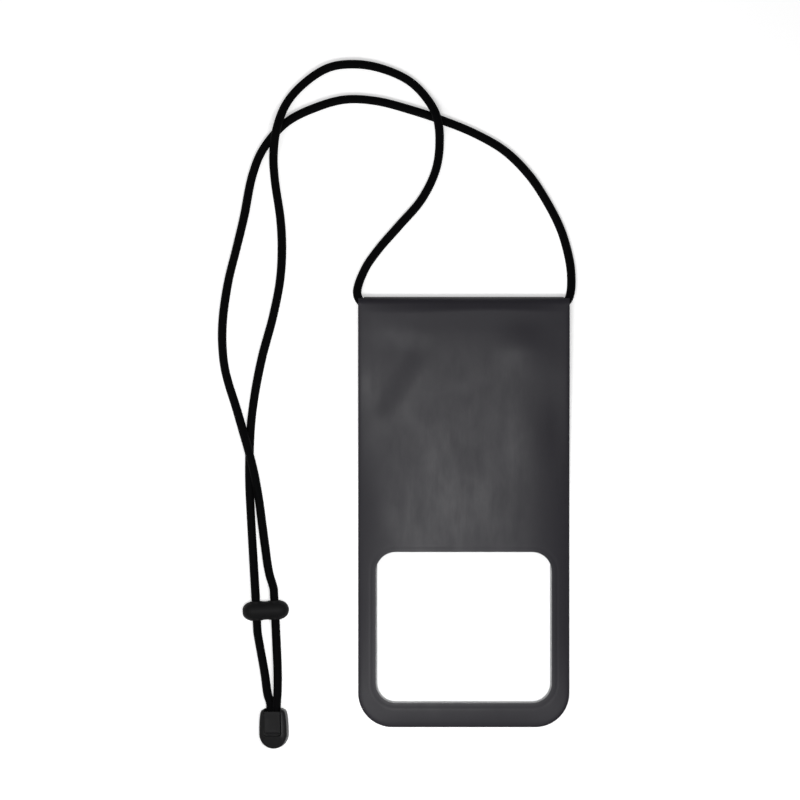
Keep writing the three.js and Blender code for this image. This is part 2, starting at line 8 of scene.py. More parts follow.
import bpy
import numpy as np
from bpy.props import FloatProperty, FloatVectorProperty, PointerProperty
from mathutils import Euler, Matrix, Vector


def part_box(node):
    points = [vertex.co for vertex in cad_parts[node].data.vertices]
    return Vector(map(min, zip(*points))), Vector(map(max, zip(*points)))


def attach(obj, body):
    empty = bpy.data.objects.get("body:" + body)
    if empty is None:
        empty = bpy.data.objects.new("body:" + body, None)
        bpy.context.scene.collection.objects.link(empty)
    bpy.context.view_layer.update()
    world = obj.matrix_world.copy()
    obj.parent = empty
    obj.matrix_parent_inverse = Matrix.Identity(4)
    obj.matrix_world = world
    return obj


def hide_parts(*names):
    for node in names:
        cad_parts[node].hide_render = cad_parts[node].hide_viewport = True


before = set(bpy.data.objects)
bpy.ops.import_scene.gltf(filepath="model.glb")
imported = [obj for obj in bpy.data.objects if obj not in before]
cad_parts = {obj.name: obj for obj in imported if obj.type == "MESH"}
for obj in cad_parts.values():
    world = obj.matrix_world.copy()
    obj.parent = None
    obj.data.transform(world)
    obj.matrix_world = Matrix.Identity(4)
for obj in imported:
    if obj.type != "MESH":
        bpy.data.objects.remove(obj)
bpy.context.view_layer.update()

bl_info = {
    "name": "Waterproof phone pouch",
    "version": (1, 0, 0),
    "blender": (4, 5, 0),
    "location": "View3D > Sidebar > Pouch",
    "description": "Builds a phone pouch with its neck cord, slider and cord end around the packed model",
    "category": "Add Mesh",
}

MM = 0.001
PANEL_LOW, PANEL_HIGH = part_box("back_panel")

# Route of the cord in millimetres, as the part has it: it lies on the surface and climbs over itself.
CORD_RADIUS = 2.0
LIE = CORD_RADIUS + 0.15
OVER = 6.4
OUTER_LOOP = [
    (-105.7, -4, LIE), (-106.5, 14, LIE), (-106.5, 28.9, LIE), (-105.8, 43, LIE), (-104, 57.8, LIE),
    (-100.4, 76.4, LIE), (-94.9, 96.9, LIE), (-91.3, 115.4, LIE), (-90.4, 131, LIE), (-91.1, 145.3, LIE),
    (-93.9, 164.9, LIE), (-94.6, 176.5, LIE), (-93.1, 189.4, OVER), (-88.3, 202.8, LIE), (-79.5, 213, LIE),
    (-66.9, 221, LIE), (-53.3, 222.6, LIE), (-39.7, 220.1, LIE), (-26.6, 213.9, LIE), (-17.8, 204.7, 3.1),
    (-13.3, 195.7, OVER), (-12, 183.9, LIE), (-13.9, 170.1, LIE), (-21, 155.4, LIE), (-32.5, 142, LIE),
    (-42.4, 130.6, LIE), (-49.2, 120.6, 2.6),
]
INNER_LOOP = [
    (53.3, 119, 3), (51.9, 128.1, 2.3), (48.3, 140.2, LIE), (42, 153, LIE), (32.7, 167.2, LIE),
    (20.5, 179.4, LIE), (6, 187.9, LIE), (-10.3, 194.6, LIE), (-26.6, 200, LIE), (-43.4, 204.3, LIE),
    (-58.6, 205.1, LIE), (-72, 201.7, LIE), (-87.9, 193.9, LIE), (-99.8, 180.3, LIE), (-105, 167.6, LIE),
    (-109.4, 146, LIE), (-113.3, 129.9, LIE), (-116.9, 115.4, LIE), (-119.5, 98.7, LIE), (-120.1, 86, LIE),
    (-119.1, 73.3, LIE), (-117.3, 65.2, LIE), (-113.2, 52.1, LIE), (-110.2, 42, 3.8), (-106.4, 28.9, OVER),
    (-103.8, 18, 5.1), (-101.8, 6, 2.6), (-100.1, -7, LIE), (-98.9, -16, LIE), (-96.8, -30, 3),
]
TO_END_LEFT = [(-98.9, -80, 4.2), (-97.4, -90.5, 4.05)]
TO_END_RIGHT = [(-92.4, -81, 5.6), (-92.5, -90, 6.2)]
FOLD_END = [(53, 109, 4), (51.24, 104.76, 4), (47, 103, 4), (43, 103, 4)]
SLIDER_TURN = math.radians(3)
SLIDER_PLACE = np.array([-98.45, -48.8, 4.5])
STRAND_SPACING = 9.2
STRAIGHT_RUN = (8.8, 10.3)
END_TURN = math.radians(1)
END_ROLL = math.radians(10)
END_PLACE = np.array([-94.45, -97.2, 5.2303])
STRAND_APART = 3.6
STRAND_RISE = 1.9
STRAND_SEATS = (-8.5, -2.2, 2.2)


def length(name, description, default):
    """A size in metres that a user may change."""
    return FloatProperty(name=name, description=description, default=default, unit="LENGTH", precision=5)


def colour(name, description, default):
    """A colour that a user may change."""
    return FloatVectorProperty(name=name, description=description, default=default, size=3, subtype="COLOR")


class PouchSizes(bpy.types.PropertyGroup):
    """Sizes of the sheets and films of the pouch."""

    width: length("Width", "Across the pouch", PANEL_HIGH.x - PANEL_LOW.x)
    height: length("Height", "From the bottom edge to the rolled fold", PANEL_HIGH.y - PANEL_LOW.y)
    corner: length("Corner", "Radius of the bottom corners", 17 * MM)
    weld: length("Weld", "Width of the pressed margin round the pocket", 4 * MM)
    swell: length("Swell", "Inner height of the camera side over the window's middle", 4.9 * MM)
    swell_run: length("Swell run", "Length over which the swell grows from the bottom edge", 70 * MM)
    brow: length("Brow", "Inner height of the camera side before the fold", 8.8 * MM)
    window_width: length("Window width", "Clear opening of the camera side", 87.6 * MM)
    window_height: length("Window height", "Clear opening of the camera side", 75.2 * MM)
    window_radius: length("Window radius", "Corner radius of the camera window", 10 * MM)
    window_border: length("Window border", "Black sheet below the camera window", 12 * MM)
    window_swell: length("Window swell", "How far the window's film stands out", 3 * MM)
    window_overlap: length("Window overlap", "Film behind the sheet round the window", 3 * MM)
    display_width: length("Display width", "Clear opening of the display side", 86 * MM)
    display_height: length("Display height", "Clear opening of the display side", 157 * MM)
    display_radius: length("Display radius", "Corner radius of the display opening", 9.2 * MM)
    display_border: length("Display border", "Black border below the display opening", 12.8 * MM)
    back_sheet: length("Back sheet", "Thickness of the black sheet", 0.5 * MM)
    border_sheet: length("Border sheet", "Thickness of the black border of the display side", 0.4 * MM)
    film: length("Film", "Thickness of the clear films", 0.4 * MM)
    gap: length("Gap", "Between sheets that lie on each other", 0.15 * MM)
    flap: length("Flap", "From the fold to the mouth, on the display side", 35 * MM)
    flap_lip: length("Flap lip", "How much longer the black sheet is than the border at the mouth", 1.5 * MM)
    closure_rise: length("Closure rise", "How high the sheets climb over the flap and its strips", 3.85 * MM)
    crease: length("Crease", "Inner radius of the fold", 2.95 * MM)
    notch_depth: length("Notch depth", "Slot at each end of the fold, where the cord comes out", 2.8 * MM)
    notch_width: length("Notch width", "Width of that slot", 4.5 * MM)
    seal_rise: length("Seal rise", "How high the border climbs over the press seal", 2.15 * MM)
    sheet_colour: colour("Sheet", "Black sheet", (0.0114, 0.0104, 0.0144))
    film_colour: colour("Film", "Clear film", (0.95, 0.96, 0.97))


STRANDS_ROUND = 8  # strands of each family round the cord
THREADS = 7  # threads in a strand


class CordSizes(bpy.types.PropertyGroup):
    """Sizes of the neck cord."""

    diameter: length("Diameter", "Thickness of the cord over its braid", 4.3 * MM)
    braid_pitch: length("Braid pitch", "Length of one stitch of the braid along the cord", 1.8 * MM)
    braid_relief: length("Braid relief", "Depth of the valleys between the stitches", 0.07 * MM)
    cord_colour: colour("Cord", "Braided cord", (0.0011, 0.0011, 0.0013))


class FittingSizes(bpy.types.PropertyGroup):
    """Sizes of the slider and the cord end."""

    slider_length: length("Slider length", "From end to end", 23.3 * MM)
    slider_diameter: length("Slider diameter", "Thickness of the slider", 9.2 * MM)
    strand_spacing: length("Strand spacing", "Between the slider's two holes", STRAND_SPACING * MM)
    hole: length("Hole", "Radius of the slider's holes", 2.3 * MM)
    collar: length("Collar", "Outer radius of the collar round each hole", 2.95 * MM)
    end_length: length("Cord end length", "From the neck to the nose", 20.1 * MM)
    end_width: length("Cord end width", "At its widest", 14.1 * MM)
    end_thickness: length("Cord end thickness", "Through the shell, without the lid", 8.8 * MM)
    trough: length("Trough", "Half the width of the cord end's trough", 3.95 * MM)
    moulded_colour: colour("Moulded plastic", "Slider and cord end", (0.006, 0.006, 0.0064))


class StageSettings(bpy.types.PropertyGroup):
    """Camera, floor and light."""

    camera_height: length("Camera height", "Of the lens above the floor", 2.2)
    view_width: length("View width", "What the picture shows from side to side", 398.1 * MM)
    view_x: length("View X", "Middle of the picture", -31.7 * MM)
    view_y: length("View Y", "Middle of the picture", 55.7 * MM)
    floor_size: length("Floor size", "Side of the floor", 8.0)


def end_matrix():
    """Turn of the cord end: rolled about its own length, then turned on the surface it lies on."""
    turn = np.array(Euler((0, 0, END_TURN)).to_matrix())
    roll = np.array(Euler((0, -END_ROLL, 0)).to_matrix())
    return turn @ roll


def smooth(t):
    """Three times the square less twice the cube, between 0 and 1."""
    c = np.clip(t, 0, 1)
    return c * c * (3 - 2 * c)


class Grid:
    """Gathers grids of points and the faces between them, for one mesh."""

    def __init__(self):
        self.points = []
        self.faces = []
        self.count = 0

    def add(self, points, keep=None, closed=False):
        """Adds rows of points and the squares between them, and returns the points' numbers. closed joins
        each row's last point to its first. keep is a mask of the squares that are wanted."""
        rows, columns = points.shape[:2]
        index = self.count + np.arange(rows * columns).reshape(rows, columns)
        self.points.append(points.reshape(-1, 3))
        self.count += rows * columns
        following = np.roll(index, -1, axis=1) if closed else index[:, 1:]
        here = index if closed else index[:, :-1]
        squares = np.stack([here[:-1], following[:-1], following[1:], here[1:]], axis=-1)
        self.faces.append(squares.reshape(-1, 4) if keep is None else squares[keep])
        return index

    def mesh(self, name, merge=0.0):
        """The mesh in metres. merge joins points that lie within that many metres of each other."""
        data = bpy.data.meshes.new(name)
        points = np.concatenate(self.points) * MM
        faces = np.concatenate(self.faces)
        data.vertices.add(len(points))
        data.vertices.foreach_set("co", points.ravel())
        data.loops.add(faces.size)
        data.loops.foreach_set("vertex_index", faces.ravel())
        data.polygons.add(len(faces))
        data.polygons.foreach_set("loop_start", np.arange(0, faces.size, 4))
        data.update(calc_edges=True)
        if merge:
            joined = bpy.data.objects.new(name + "_join", data)
            weld = joined.modifiers.new("join", "WELD")
            weld.merge_threshold = merge
            data = evaluated(joined)
        data.validate()
        return data


def evaluated(temporary):
    """The mesh of an object with its modifiers applied. The object is removed."""
    bpy.context.scene.collection.objects.link(temporary)
    depsgraph = bpy.context.evaluated_depsgraph_get()
    depsgraph.update()
    data = bpy.data.meshes.new_from_object(temporary.evaluated_get(depsgraph), depsgraph=depsgraph)
    old = temporary.data
    bpy.data.objects.remove(temporary)
    bpy.data.meshes.remove(old)
    return data


def piece(name, data, material, body, nodes, sharp=30.0):
    """Links a finished mesh as a piece that rides on a body and stands for CAD nodes. Edges that turn by more
    than sharp, in degrees, stay sharp."""
    data.name = name
    data.materials.clear()
    data.materials.append(material)
    data.polygons.foreach_set("use_smooth", np.ones(len(data.polygons), bool))
    data.set_sharp_from_angle(angle=math.radians(sharp))
    data.update()
    made = bpy.data.objects.new(name, data)
    bpy.context.scene.collection.objects.link(made)
    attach(made, body)
    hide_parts(*nodes)
    return made


class Value:
    """A socket whose arithmetic adds Math nodes to its own tree."""

    def __init__(self, tree, socket):
        self.tree = tree
        self.socket = socket

    def maths(self, operation, *inputs):
        """A Math node on these inputs, each of them a value or a number."""
        made = self.tree.nodes.new("ShaderNodeMath")
        made.operation = operation
        for socket, given in zip(made.inputs, inputs):
            connect(self.tree, socket, given)
        return Value(self.tree, made.outputs[0])

    def __add__(self, other):
        return self.maths("ADD", self, other)

    def __radd__(self, other):
        return self.maths("ADD", other, self)

    def __sub__(self, other):
        return self.maths("SUBTRACT", self, other)

    def __rsub__(self, other):
        return self.maths("SUBTRACT", other, self)

    def __mul__(self, other):
        return self.maths("MULTIPLY", self, other)

    def __rmul__(self, other):
        return self.maths("MULTIPLY", other, self)

    def sine(self):
        return self.maths("SINE", self)

    def size(self):
        return self.maths("ABSOLUTE", self)

    def most(self, other):
        return self.maths("MAXIMUM", self, other)


def connect(tree, socket, given):
    """Links a value or a socket, or sets a plain number, colour or vector."""
    if isinstance(given, Value):
        given = given.socket
    if isinstance(given, bpy.types.NodeSocket):
        tree.links.new(given, socket)
    else:
        socket.default_value = given


class Finish:
    """A material or world tree under construction."""

    def __init__(self, name, owner=None):
        self.owner = owner or bpy.data.materials.new(name)
        self.owner.use_nodes = True
        self.tree = self.owner.node_tree
        self.tree.nodes.clear()

    def node(self, kind, sockets=None, output=0, **settings):
        """Adds a node of a type, with its settings set first and then the values or links of its sockets."""
        made = self.tree.nodes.new("ShaderNode" + kind)
        for setting, given in settings.items():
            setattr(made, setting, given)
        for socket, given in (sockets or {}).items():
            connect(self.tree, made.inputs[socket], given)
        return Value(self.tree, made.outputs[output])

    def place(self, output="Object", stretch=(1, 1, 1)):
        """A place on the piece, in its own coordinates or on its surface map, stretched."""
        return self.node("Mapping", {"Vector": self.node("TexCoord", output=output), "Scale": stretch})

    def noise(self, where, scale, detail=3.0, roughness=0.5):
        """Soft noise between 0 and 1."""
        sockets = {"Vector": where, "Scale": scale, "Detail": detail, "Roughness": roughness}
        return self.node("TexNoise", sockets)

    def tint(self, factor, low, high):
        """A colour between two colours."""
        return self.node("Mix", {0: factor, 6: (*low, 1), 7: (*high, 1)}, output=2, data_type="RGBA")

    def bump(self, height, distance, strength=1.0):
        """Surface relief from a height between 0 and 1, with its full depth in metres."""
        return self.node("Bump", {"Height": height, "Distance": distance, "Strength": strength})

    def surface(self, shader):
        """Ends the tree at its output and returns its owner."""
        kind = "World" if isinstance(self.owner, bpy.types.World) else "Material"
        output = self.tree.nodes.new("ShaderNodeOutput" + kind)
        self.tree.links.new(shader.socket, output.inputs["Surface"])
        return self.owner


def scaled(tint, factor):
    """A colour made lighter or darker."""
    return tuple(channel * factor for channel in tint)


def black_sheet_finish(name, tint):
    """Satin thermoplastic sheet: cloudy gloss, fine upright drawing marks, and a leathery grain."""
    finish = Finish(name)
    clouds = finish.noise(finish.place(), 28.0, 2.0)
    streaks = finish.noise(finish.place(stretch=(1, 0.06, 1)), 900.0, 4.0, 0.65)
    blotches = finish.noise(finish.place(stretch=(1, 0.45, 1)), 120.0, 3.0, 0.6)
    grain = finish.noise(finish.place(), 4200.0, 2.0, 0.5)
    base = finish.tint(clouds * 0.6 + streaks * 0.4, scaled(tint, 0.8), scaled(tint, 1.25))
    rough = 0.29 + clouds * 0.08 + streaks * 0.06 + blotches * 0.16
    relief = grain * 0.3 + streaks * 0.12 + blotches * 0.58
    sockets = {
        "Base Color": base,
        "Roughness": rough,
        "Normal": finish.bump(relief, 0.06 * MM, 0.5),
        "IOR": 1.5,
        "Specular IOR Level": 0.24,
    }
    return finish.surface(finish.node("BsdfPrincipled", sockets))


def clear_film_finish(name, tint):
    """Clear gloss film: nearly all light goes through, with a faint haze and long soft waves."""
    finish = Finish(name)
    haze = finish.noise(finish.place(stretch=(1, 0.5, 1)), 60.0, 2.0)
    waves = finish.noise(finish.place(stretch=(1, 0.6, 1)), 35.0, 1.0)
    sockets = {
        "Base Color": (*tint, 1),
        "Roughness": 0.08 + haze * 0.06,
        "Alpha": 0.05 + haze * 0.05,
        "Normal": finish.bump(waves, 0.2 * MM, 0.4),
        "IOR": 1.5,
    }
    return finish.surface(finish.node("BsdfPrincipled", sockets))


def braid_finish(name, tint):
    """Braided filament cord on its surface map: u counts turns round the cord, v counts stitches along it.
    Two families of strands run as helices, u times the strands plus and minus v, and cross by turns."""
    finish = Finish(name)
    where = finish.place("UV")
    apart = finish.node("SeparateXYZ", {"Vector": where})
    across = Value(finish.tree, apart.socket.node.outputs[0])
    along = Value(finish.tree, apart.socket.node.outputs[1])
    right = ((across * STRANDS_ROUND + along) * math.pi).sine().size()
    left = ((across * STRANDS_ROUND - along) * math.pi).sine().size()
    stitches = right.most(left)
    threads = ((across * STRANDS_ROUND + along) * (math.pi * THREADS)).sine().size()
    fuzz = finish.noise(finish.place("UV", (60, 6, 1)), 4.0, 3.0)
    height = stitches * 0.6 + threads * 0.15 + fuzz * 0.25
    # The base colour follows the stitches' relief. It is painted shade, darker in the valleys between the
    # stitches, and painted highlight, lighter on their crests. The fuzz adds random fibre tone on top.
    sockets = {
        "Base Color": finish.tint(stitches * 0.7 + fuzz * 0.3, scaled(tint, 0.55), scaled(tint, 1.5)),
        "Roughness": 0.62 + fuzz * 0.2,
        "Normal": finish.bump(height, 0.12 * MM, 0.8),
        "Specular IOR Level": 0.03,
        "Sheen Weight": 0.01,
        "Sheen Roughness": 0.4,
    }
    return finish.surface(finish.node("BsdfPrincipled", sockets))


def moulded_finish(name, tint, gloss, rough):
    """Black injection-moulded plastic: soft gloss, a fine spark-eroded grain and faint wear marks."""
    finish = Finish(name)
    grain = finish.noise(finish.place(), 5200.0, 2.0)
    smears = finish.noise(finish.place(stretch=(1, 0.4, 1)), 240.0, 3.0)
    sockets = {
        "Base Color": finish.tint(smears, scaled(tint, 0.8), scaled(tint, 1.3)),
        "Roughness": rough + smears * 0.12,
        "Normal": finish.bump(grain, 0.02 * MM, 0.35),
        "Specular IOR Level": gloss,
    }
    return finish.surface(finish.node("BsdfPrincipled", sockets))


def tape_finish(name, tint, scale):
    """Hook and loop tape: a dense pile of tiny loops."""
    finish = Finish(name)
    cells = finish.node("TexVoronoi", {"Vector": finish.place(), "Scale": scale}, feature="F1")
    fuzz = finish.noise(finish.place(), scale * 2.0, 4.0)
    sockets = {
        "Base Color": finish.tint(cells * 0.6 + fuzz * 0.4, scaled(tint, 0.5), scaled(tint, 2.2)),
        "Roughness": 0.95,
        "Normal": finish.bump(1 - cells, 0.5 * MM, 0.9),
        "Specular IOR Level": 0.1,
        "Sheen Weight": 0.2,
    }
    return finish.surface(finish.node("BsdfPrincipled", sockets))


def seal_finish(name):
    """Milky translucent strip of the press seal, with extrusion lines along it."""
    finish = Finish(name)
    lines = finish.noise(finish.place(stretch=(0.02, 1, 1)), 2500.0, 2.0)
    sockets = {
        "Base Color": finish.tint(lines, (0.62, 0.65, 0.67), (0.8, 0.83, 0.85)),
        "Roughness": 0.3 + lines * 0.15,
        "Alpha": 0.62 + lines * 0.1,
        "Normal": finish.bump(lines, 0.03 * MM, 0.5),
    }
    return finish.surface(finish.node("BsdfPrincipled", sockets))


def straight_down_camera(stage):
    """A long lens straight above the middle of the picture, so that the pouch keeps square edges."""
    data = bpy.data.cameras.new("photo_camera")
    data.lens = data.sensor_width * stage.camera_height / stage.view_width
    data.clip_end = 50
    camera = bpy.data.objects.new("photo_camera", data)
    camera.location = (stage.view_x, stage.view_y, stage.camera_height)
    bpy.context.scene.collection.objects.link(camera)
    bpy.context.scene.camera = camera


def softbox(name, place, aim, size, power):
    """A rectangular soft light that the camera doesn't see."""
    data = bpy.data.lights.new(name, "AREA")
    data.shape = "RECTANGLE"
    data.size, data.size_y = size
    data.energy = power
    lamp = bpy.data.objects.new(name, data)
    lamp.location = place
    lamp.rotation_euler = (Vector(aim) - Vector(place)).to_track_quat("-Z", "Y").to_euler()
    lamp.visible_camera = False
    bpy.context.scene.collection.objects.link(lamp)


def seen_directly(finish):
    """1 for what the camera sees itself, by gloss or through a film, and 0 for light that falls on things."""
    rays = finish.node("LightPath").socket.node.outputs
    kinds = ("Is Camera Ray", "Is Glossy Ray", "Is Transmission Ray")
    camera, glossy, through = (Value(finish.tree, rays[kind]) for kind in kinds)
    return camera.most(glossy).most(through)


def floor_finish():
    """White floor: plain diffuse white for the light, with a glow of its own added where it is seen."""
    finish = Finish("white_floor")
    speckle = finish.noise(finish.place(), 30.0, 2.0)
    white = finish.tint(speckle, (0.8, 0.8, 0.8), (0.82, 0.82, 0.82))
    matte = finish.node("BsdfDiffuse", {"Color": white})
    glow = finish.node("Emission", {"Color": (1, 1, 1, 1), "Strength": 0.4})
    both = finish.node("AddShader", {0: matte, 1: glow})
    return finish.surface(finish.node("MixShader", {0: seen_directly(finish), 1: matte, 2: both}))


# Each soft light's place, what it aims at and its size, in metres, and its power in watts.
LIGHTS = {
    "overhead_softbox": ((-0.025, -0.07, 0.5), (-0.025, -0.07, 0), (0.19, 0.12), 1.5),
    "left_softbox": ((-0.55, 0.0, 0.7), (-0.02, 0, 0), (0.4, 0.6), 1.3),
    "small_far_softbox": ((-0.09, 0.187, 0.35), (-0.098, -0.05, 0), (0.03, 0.03), 0.08),
    "far_strip": ((-0.1, 0.75, 0.75), (-0.05, 0, 0), (0.5, 0.1), 0.15),
    "near_strip": ((-0.1, -0.75, 0.65), (-0.05, 0, 0), (0.5, 0.1), 0.9),
    "right_strip": ((0.7, -0.1, 0.7), (-0.05, 0, 0), (0.1, 0.5), 0.4),
}
WORLD_STRENGTH = 0.3


class POUCH_OT_stage(bpy.types.Operator):
    """Sets up the camera, the pale floor, the surroundings and the soft lights"""

    bl_idname = "pouch.stage"
    bl_label = "Stage"

    def execute(self, context):
        stage = context.scene.pouch_stage
        context.scene.view_settings.view_transform = "Standard"
        straight_down_camera(stage)
        half = stage.floor_size / 2
        data = bpy.data.meshes.new("floor")
        corners = [(-half, -half, 0), (half, -half, 0), (half, half, 0), (-half, half, 0)]
        data.from_pydata(corners, [], [(0, 1, 2, 3)])
        data.materials.append(floor_finish())
        floor = bpy.data.objects.new("floor", data)
        context.scene.collection.objects.link(floor)
        world = Finish("studio", bpy.data.worlds.new("studio"))
        sky = world.node("Background", {"Color": (1, 1, 1, 1), "Strength": WORLD_STRENGTH})
        context.scene.world = world.surface(sky)
        for name, settings in LIGHTS.items():
            softbox(name, *settings)
        return {"FINISHED"}


def rounded_outline(width, height, radius, centre_y, sides):
    """The outline of a rounded rectangle, one array of points for each of its top, left, bottom and right
    sides. Each side runs from the middle of one corner's arc to that of the next, spaced by its shares."""
    a, b = width / 2 - radius, height / 2 - radius
    corners = [(a, b, 0.25), (-a, b, 0.75), (-a, -b, 1.25), (a, -b, 1.75)]
    arc = radius * math.pi / 4
    outline = []
    for k, shares in enumerate(sides):
        (x0, y0, angle), (x1, y1, _) = corners[k], corners[(k + 1) % 4]
        straight = math.hypot(x1 - x0, y1 - y0)
        along = shares * (2 * arc + straight)
        turn0 = math.pi * angle + np.minimum(along, arc) / radius
        turn1 = math.pi * (angle + 0.25) + np.maximum(along - arc - straight, 0) / radius
        share = np.clip((along - arc) / straight, 0, 1)
        turn = np.where(along <= arc, turn0, turn1)
        x = x0 + (x1 - x0) * share + radius * np.cos(turn)
        y = y0 + (y1 - y0) * share + radius * np.sin(turn)
        outline.append(np.stack([x, centre_y + y], axis=-1))
    return outline


# Lengths of the lay in millimetres.
CLOSURE_INSET = 3.2  # from the mouth to the hook and loop strips
CLOSURE_WIDTH = 13
DROP_RUN = 3.4  # over which the camera side drops into the fold, before the fold's axis
CLIMB_LOW = -20  # where the camera side starts its climb to the fold
SEAL_INSET = 12  # from the fold to the middle of the press seal
SEAL_HALF, SEAL_RAMP, SEAL_SIDE_RAMP = 3.6, 2.4, 4.85
LIFT_LEAD = 14  # how much sooner the side welds start to climb than the middle
EDGE_LIFT_FROM, EDGE_LIFT_RUN = 44, 5  # across the pouch, where the border joins that climb

# The bulge of the camera side.
WINDOW_POWER, FOLD_POWER, POWER_RUN = 3.9, 2.6, 45  # how sharply it falls at the sides, by the window and on
LONG_SHARE, SHORT_SHARE, SHORT_RUN = 0.77, 0.23, 18  # shares of its rise from the bottom edge
BROW_WAVE, BROW_WAVE_RUN, BROW_WAVE_START = 0.7, 15, 0.6

# The slack of the film: each dent's middle, radii, turn and height, and the diagonal fold on the upper left.
DENTS = [
    ((29, 84), (12, 13), 0, 0.9),
    ((0, 59), (7, 5), 0, -0.12),
    ((11, 64), (6, 4), 0.5, -0.1),
    ((33, 38), (11, 17), 0, 0.7),
]
DIAGONAL = {"centre": (-31, 65), "turn": math.radians(57.6), "reach": 28, "width": 14, "run": 26}
DIAGONAL_DEPTH = 0.8
QUIET_SIDE, QUIET_BOTTOM, QUIET_FOLD = 12, 18, 22  # runs over which the slack grows from the welds


class Lay:
    """The lay of the pouch in millimetres: a line in Y and Z that all its sheets follow, each at its own
    offset. It lies on the surface, climbs over the flap, turns round the cord and comes back as the flap."""

    def __init__(self, sizes):
        for name in sizes.bl_rna.properties.keys():
            size = getattr(sizes, name)
            if isinstance(size, float):
                setattr(self, name, size / MM)
        self.half_width = self.width / 2
        self.half_height = self.height / 2
        self.inner_half = self.half_width - self.weld
        self.stack = self.border_sheet + self.gap + self.back_sheet
        self.fold_y = self.half_height - self.crease - self.stack
        self.fold_z = self.stack + self.crease
        self.mouth = self.half_height - self.flap
        self.climb_start = self.mouth - self.swell_run
        self.closure_start = self.mouth + CLOSURE_INSET
        self.closure_end = self.closure_start + CLOSURE_WIDTH
        self.drop_start = self.fold_y - DROP_RUN
        self.seal_y = self.half_height - SEAL_INSET
        self.film_top = self.display_height + self.display_border - self.half_height + self.window_overlap

    def face(self, y):
        """Height of the display side: one smooth step over the flap and another into the fold."""
        flap = smooth((y - self.climb_start) / (self.closure_start - self.climb_start))
        fold = smooth((y - self.closure_end) / (self.fold_y - self.closure_end))
        return self.closure_rise * flap + (self.fold_z + self.crease - self.closure_rise) * fold

    def body(self, x, y, offset):
        """Points over the flat lay, each moved by its offset: up to the sheets' own thickness along the lay's
        normal, and the rest, which is the swell, straight up."""
        step = 0.01
        slope = (self.face(y + step) - self.face(y - step)) / (2 * step)
        steep = np.hypot(1, slope)
        thin = np.minimum(offset, self.stack)
        return np.stack([x, y - thin * slope / steep, self.face(y) + thin / steep + offset - thin], axis=-1)

    def fold(self, x, angle, offset):
        """Points round the fold, on a circle about its axis."""
        radius = self.crease + offset
        y = self.fold_y + radius * np.cos(angle)
        return np.stack([x, y, self.fold_z + radius * np.sin(angle)], axis=-1)

    def flap_face(self, x, y, offset):
        """Points on the flap, whose sheets face down."""
        return np.stack([x, y, self.stack - offset], axis=-1)

    def level(self, y):
        """Height of the black sheet's inner side where the layers under it lie flat on each other."""
        over_film = 1 - smooth((y - self.film_top) / (self.closure_end - self.film_top))
        return self.border_sheet + self.gap + (self.film + self.gap) * over_film

    def lift(self, y):
        """How far the side welds stand off the face, which climbs in two steps while they climb in one."""
        start = self.climb_start - LIFT_LEAD
        single = smooth((y - start) / (self.fold_y - start))
        return np.maximum((self.fold_z + self.crease) * single - self.face(y), 0)

    def bulge(self, x, y):
        """How far the black sheet stands off its level. In the middle it keeps one slow climb from the window
        to the fold. It falls to none at the sides, by a power of the share of the way, at the bottom, where a
        short cubic and a long smooth step add up, and in the fold."""
        share = smooth((y - CLIMB_LOW) / (self.drop_start - CLIMB_LOW))
        climb = self.swell + (self.brow - self.swell) * share
        power = WINDOW_POWER + (FOLD_POWER - WINDOW_POWER) * smooth(y / POWER_RUN)
        across = 1 - np.minimum(1, np.abs(x) / self.half_width) ** power
        up = y + self.half_height
        short = 1 - np.clip(1 - up / SHORT_RUN, 0, 1) ** 3
        rise = LONG_SHARE * smooth(up / self.swell_run) + SHORT_SHARE * short
        soft_end = self.drop_start + BROW_WAVE * np.sin(x / BROW_WAVE_RUN + BROW_WAVE_START)
        to_fold = 1 - smooth((y - soft_end) / (self.half_height - 1 - soft_end))
        return across * rise * to_fold * (climb - self.face(y) - self.lift(y) - self.level(y))

    def ripple(self, x, y):
        """Soft waves, dents and one diagonal fold of the slack film, none at the welds. The waves are a sine
        across whose phase swings along the pouch, and a lower slanting sine."""
        inside = smooth((self.half_width - np.abs(x)) / QUIET_SIDE)
        inside = inside * smooth((y + self.half_height) / QUIET_BOTTOM)
        inside = inside * smooth((self.fold_y - 2 - y) / QUIET_FOLD)
        slack = 0.1 * np.sin(x / 11 + 1.3 * np.sin(y / 29)) * np.sin(y / 23 + 0.8)
        slack += 0.06 * np.sin((x + 0.6 * y) / 8.5 + 0.7)
        slack -= DIAGONAL_DEPTH * ledge(x, y, **DIAGONAL)
        for middle, radii, turn, height in DENTS:
            slack += height * dent(x, y, middle, radii, turn)
        return inside * slack


def dent(x, y, centre, radii, turn):
    """A round or oval bell, 1 in its middle: e to the minus of the squared distance in radii."""
    dx, dy = x - centre[0], y - centre[1]
    along = dx * math.cos(turn) + dy * math.sin(turn)
    across = dy * math.cos(turn) - dx * math.sin(turn)
    return np.exp(-((along / radii[0]) ** 2) - (across / radii[1]) ** 2)


def ledge(x, y, centre, turn, reach, width, run):
    """A straight soft step along a line at a turn: 0 on its right, rising over its width to 1 on its left,
    and back to 0 within its run. It fades towards both ends, at its reach from its centre."""
    dx, dy = x - centre[0], y - centre[1]
    along = dx * math.cos(turn) + dy * math.sin(turn)
    left = dy * math.cos(turn) - dx * math.sin(turn)
    back = np.exp(-((np.maximum(left - width / 2, 0) / run) ** 2))
    fade = 15
    return smooth(left / width + 0.5) * back * smooth((reach - np.abs(along)) / fade)


def edge_distance(lay, x, y):
    """Distance inwards from the pouch's outline, whose two bottom corners are round."""
    ax = lay.half_width - lay.corner
    ay = lay.corner - lay.half_height
    dx, dy = np.abs(x) - ax, ay - y
    sides = np.minimum(lay.half_width - np.abs(x), y + lay.half_height)
    round_part = lay.corner - np.hypot(np.maximum(dx, 0), np.maximum(dy, 0))
    return np.where((dx > 0) & (dy > 0), round_part, sides)


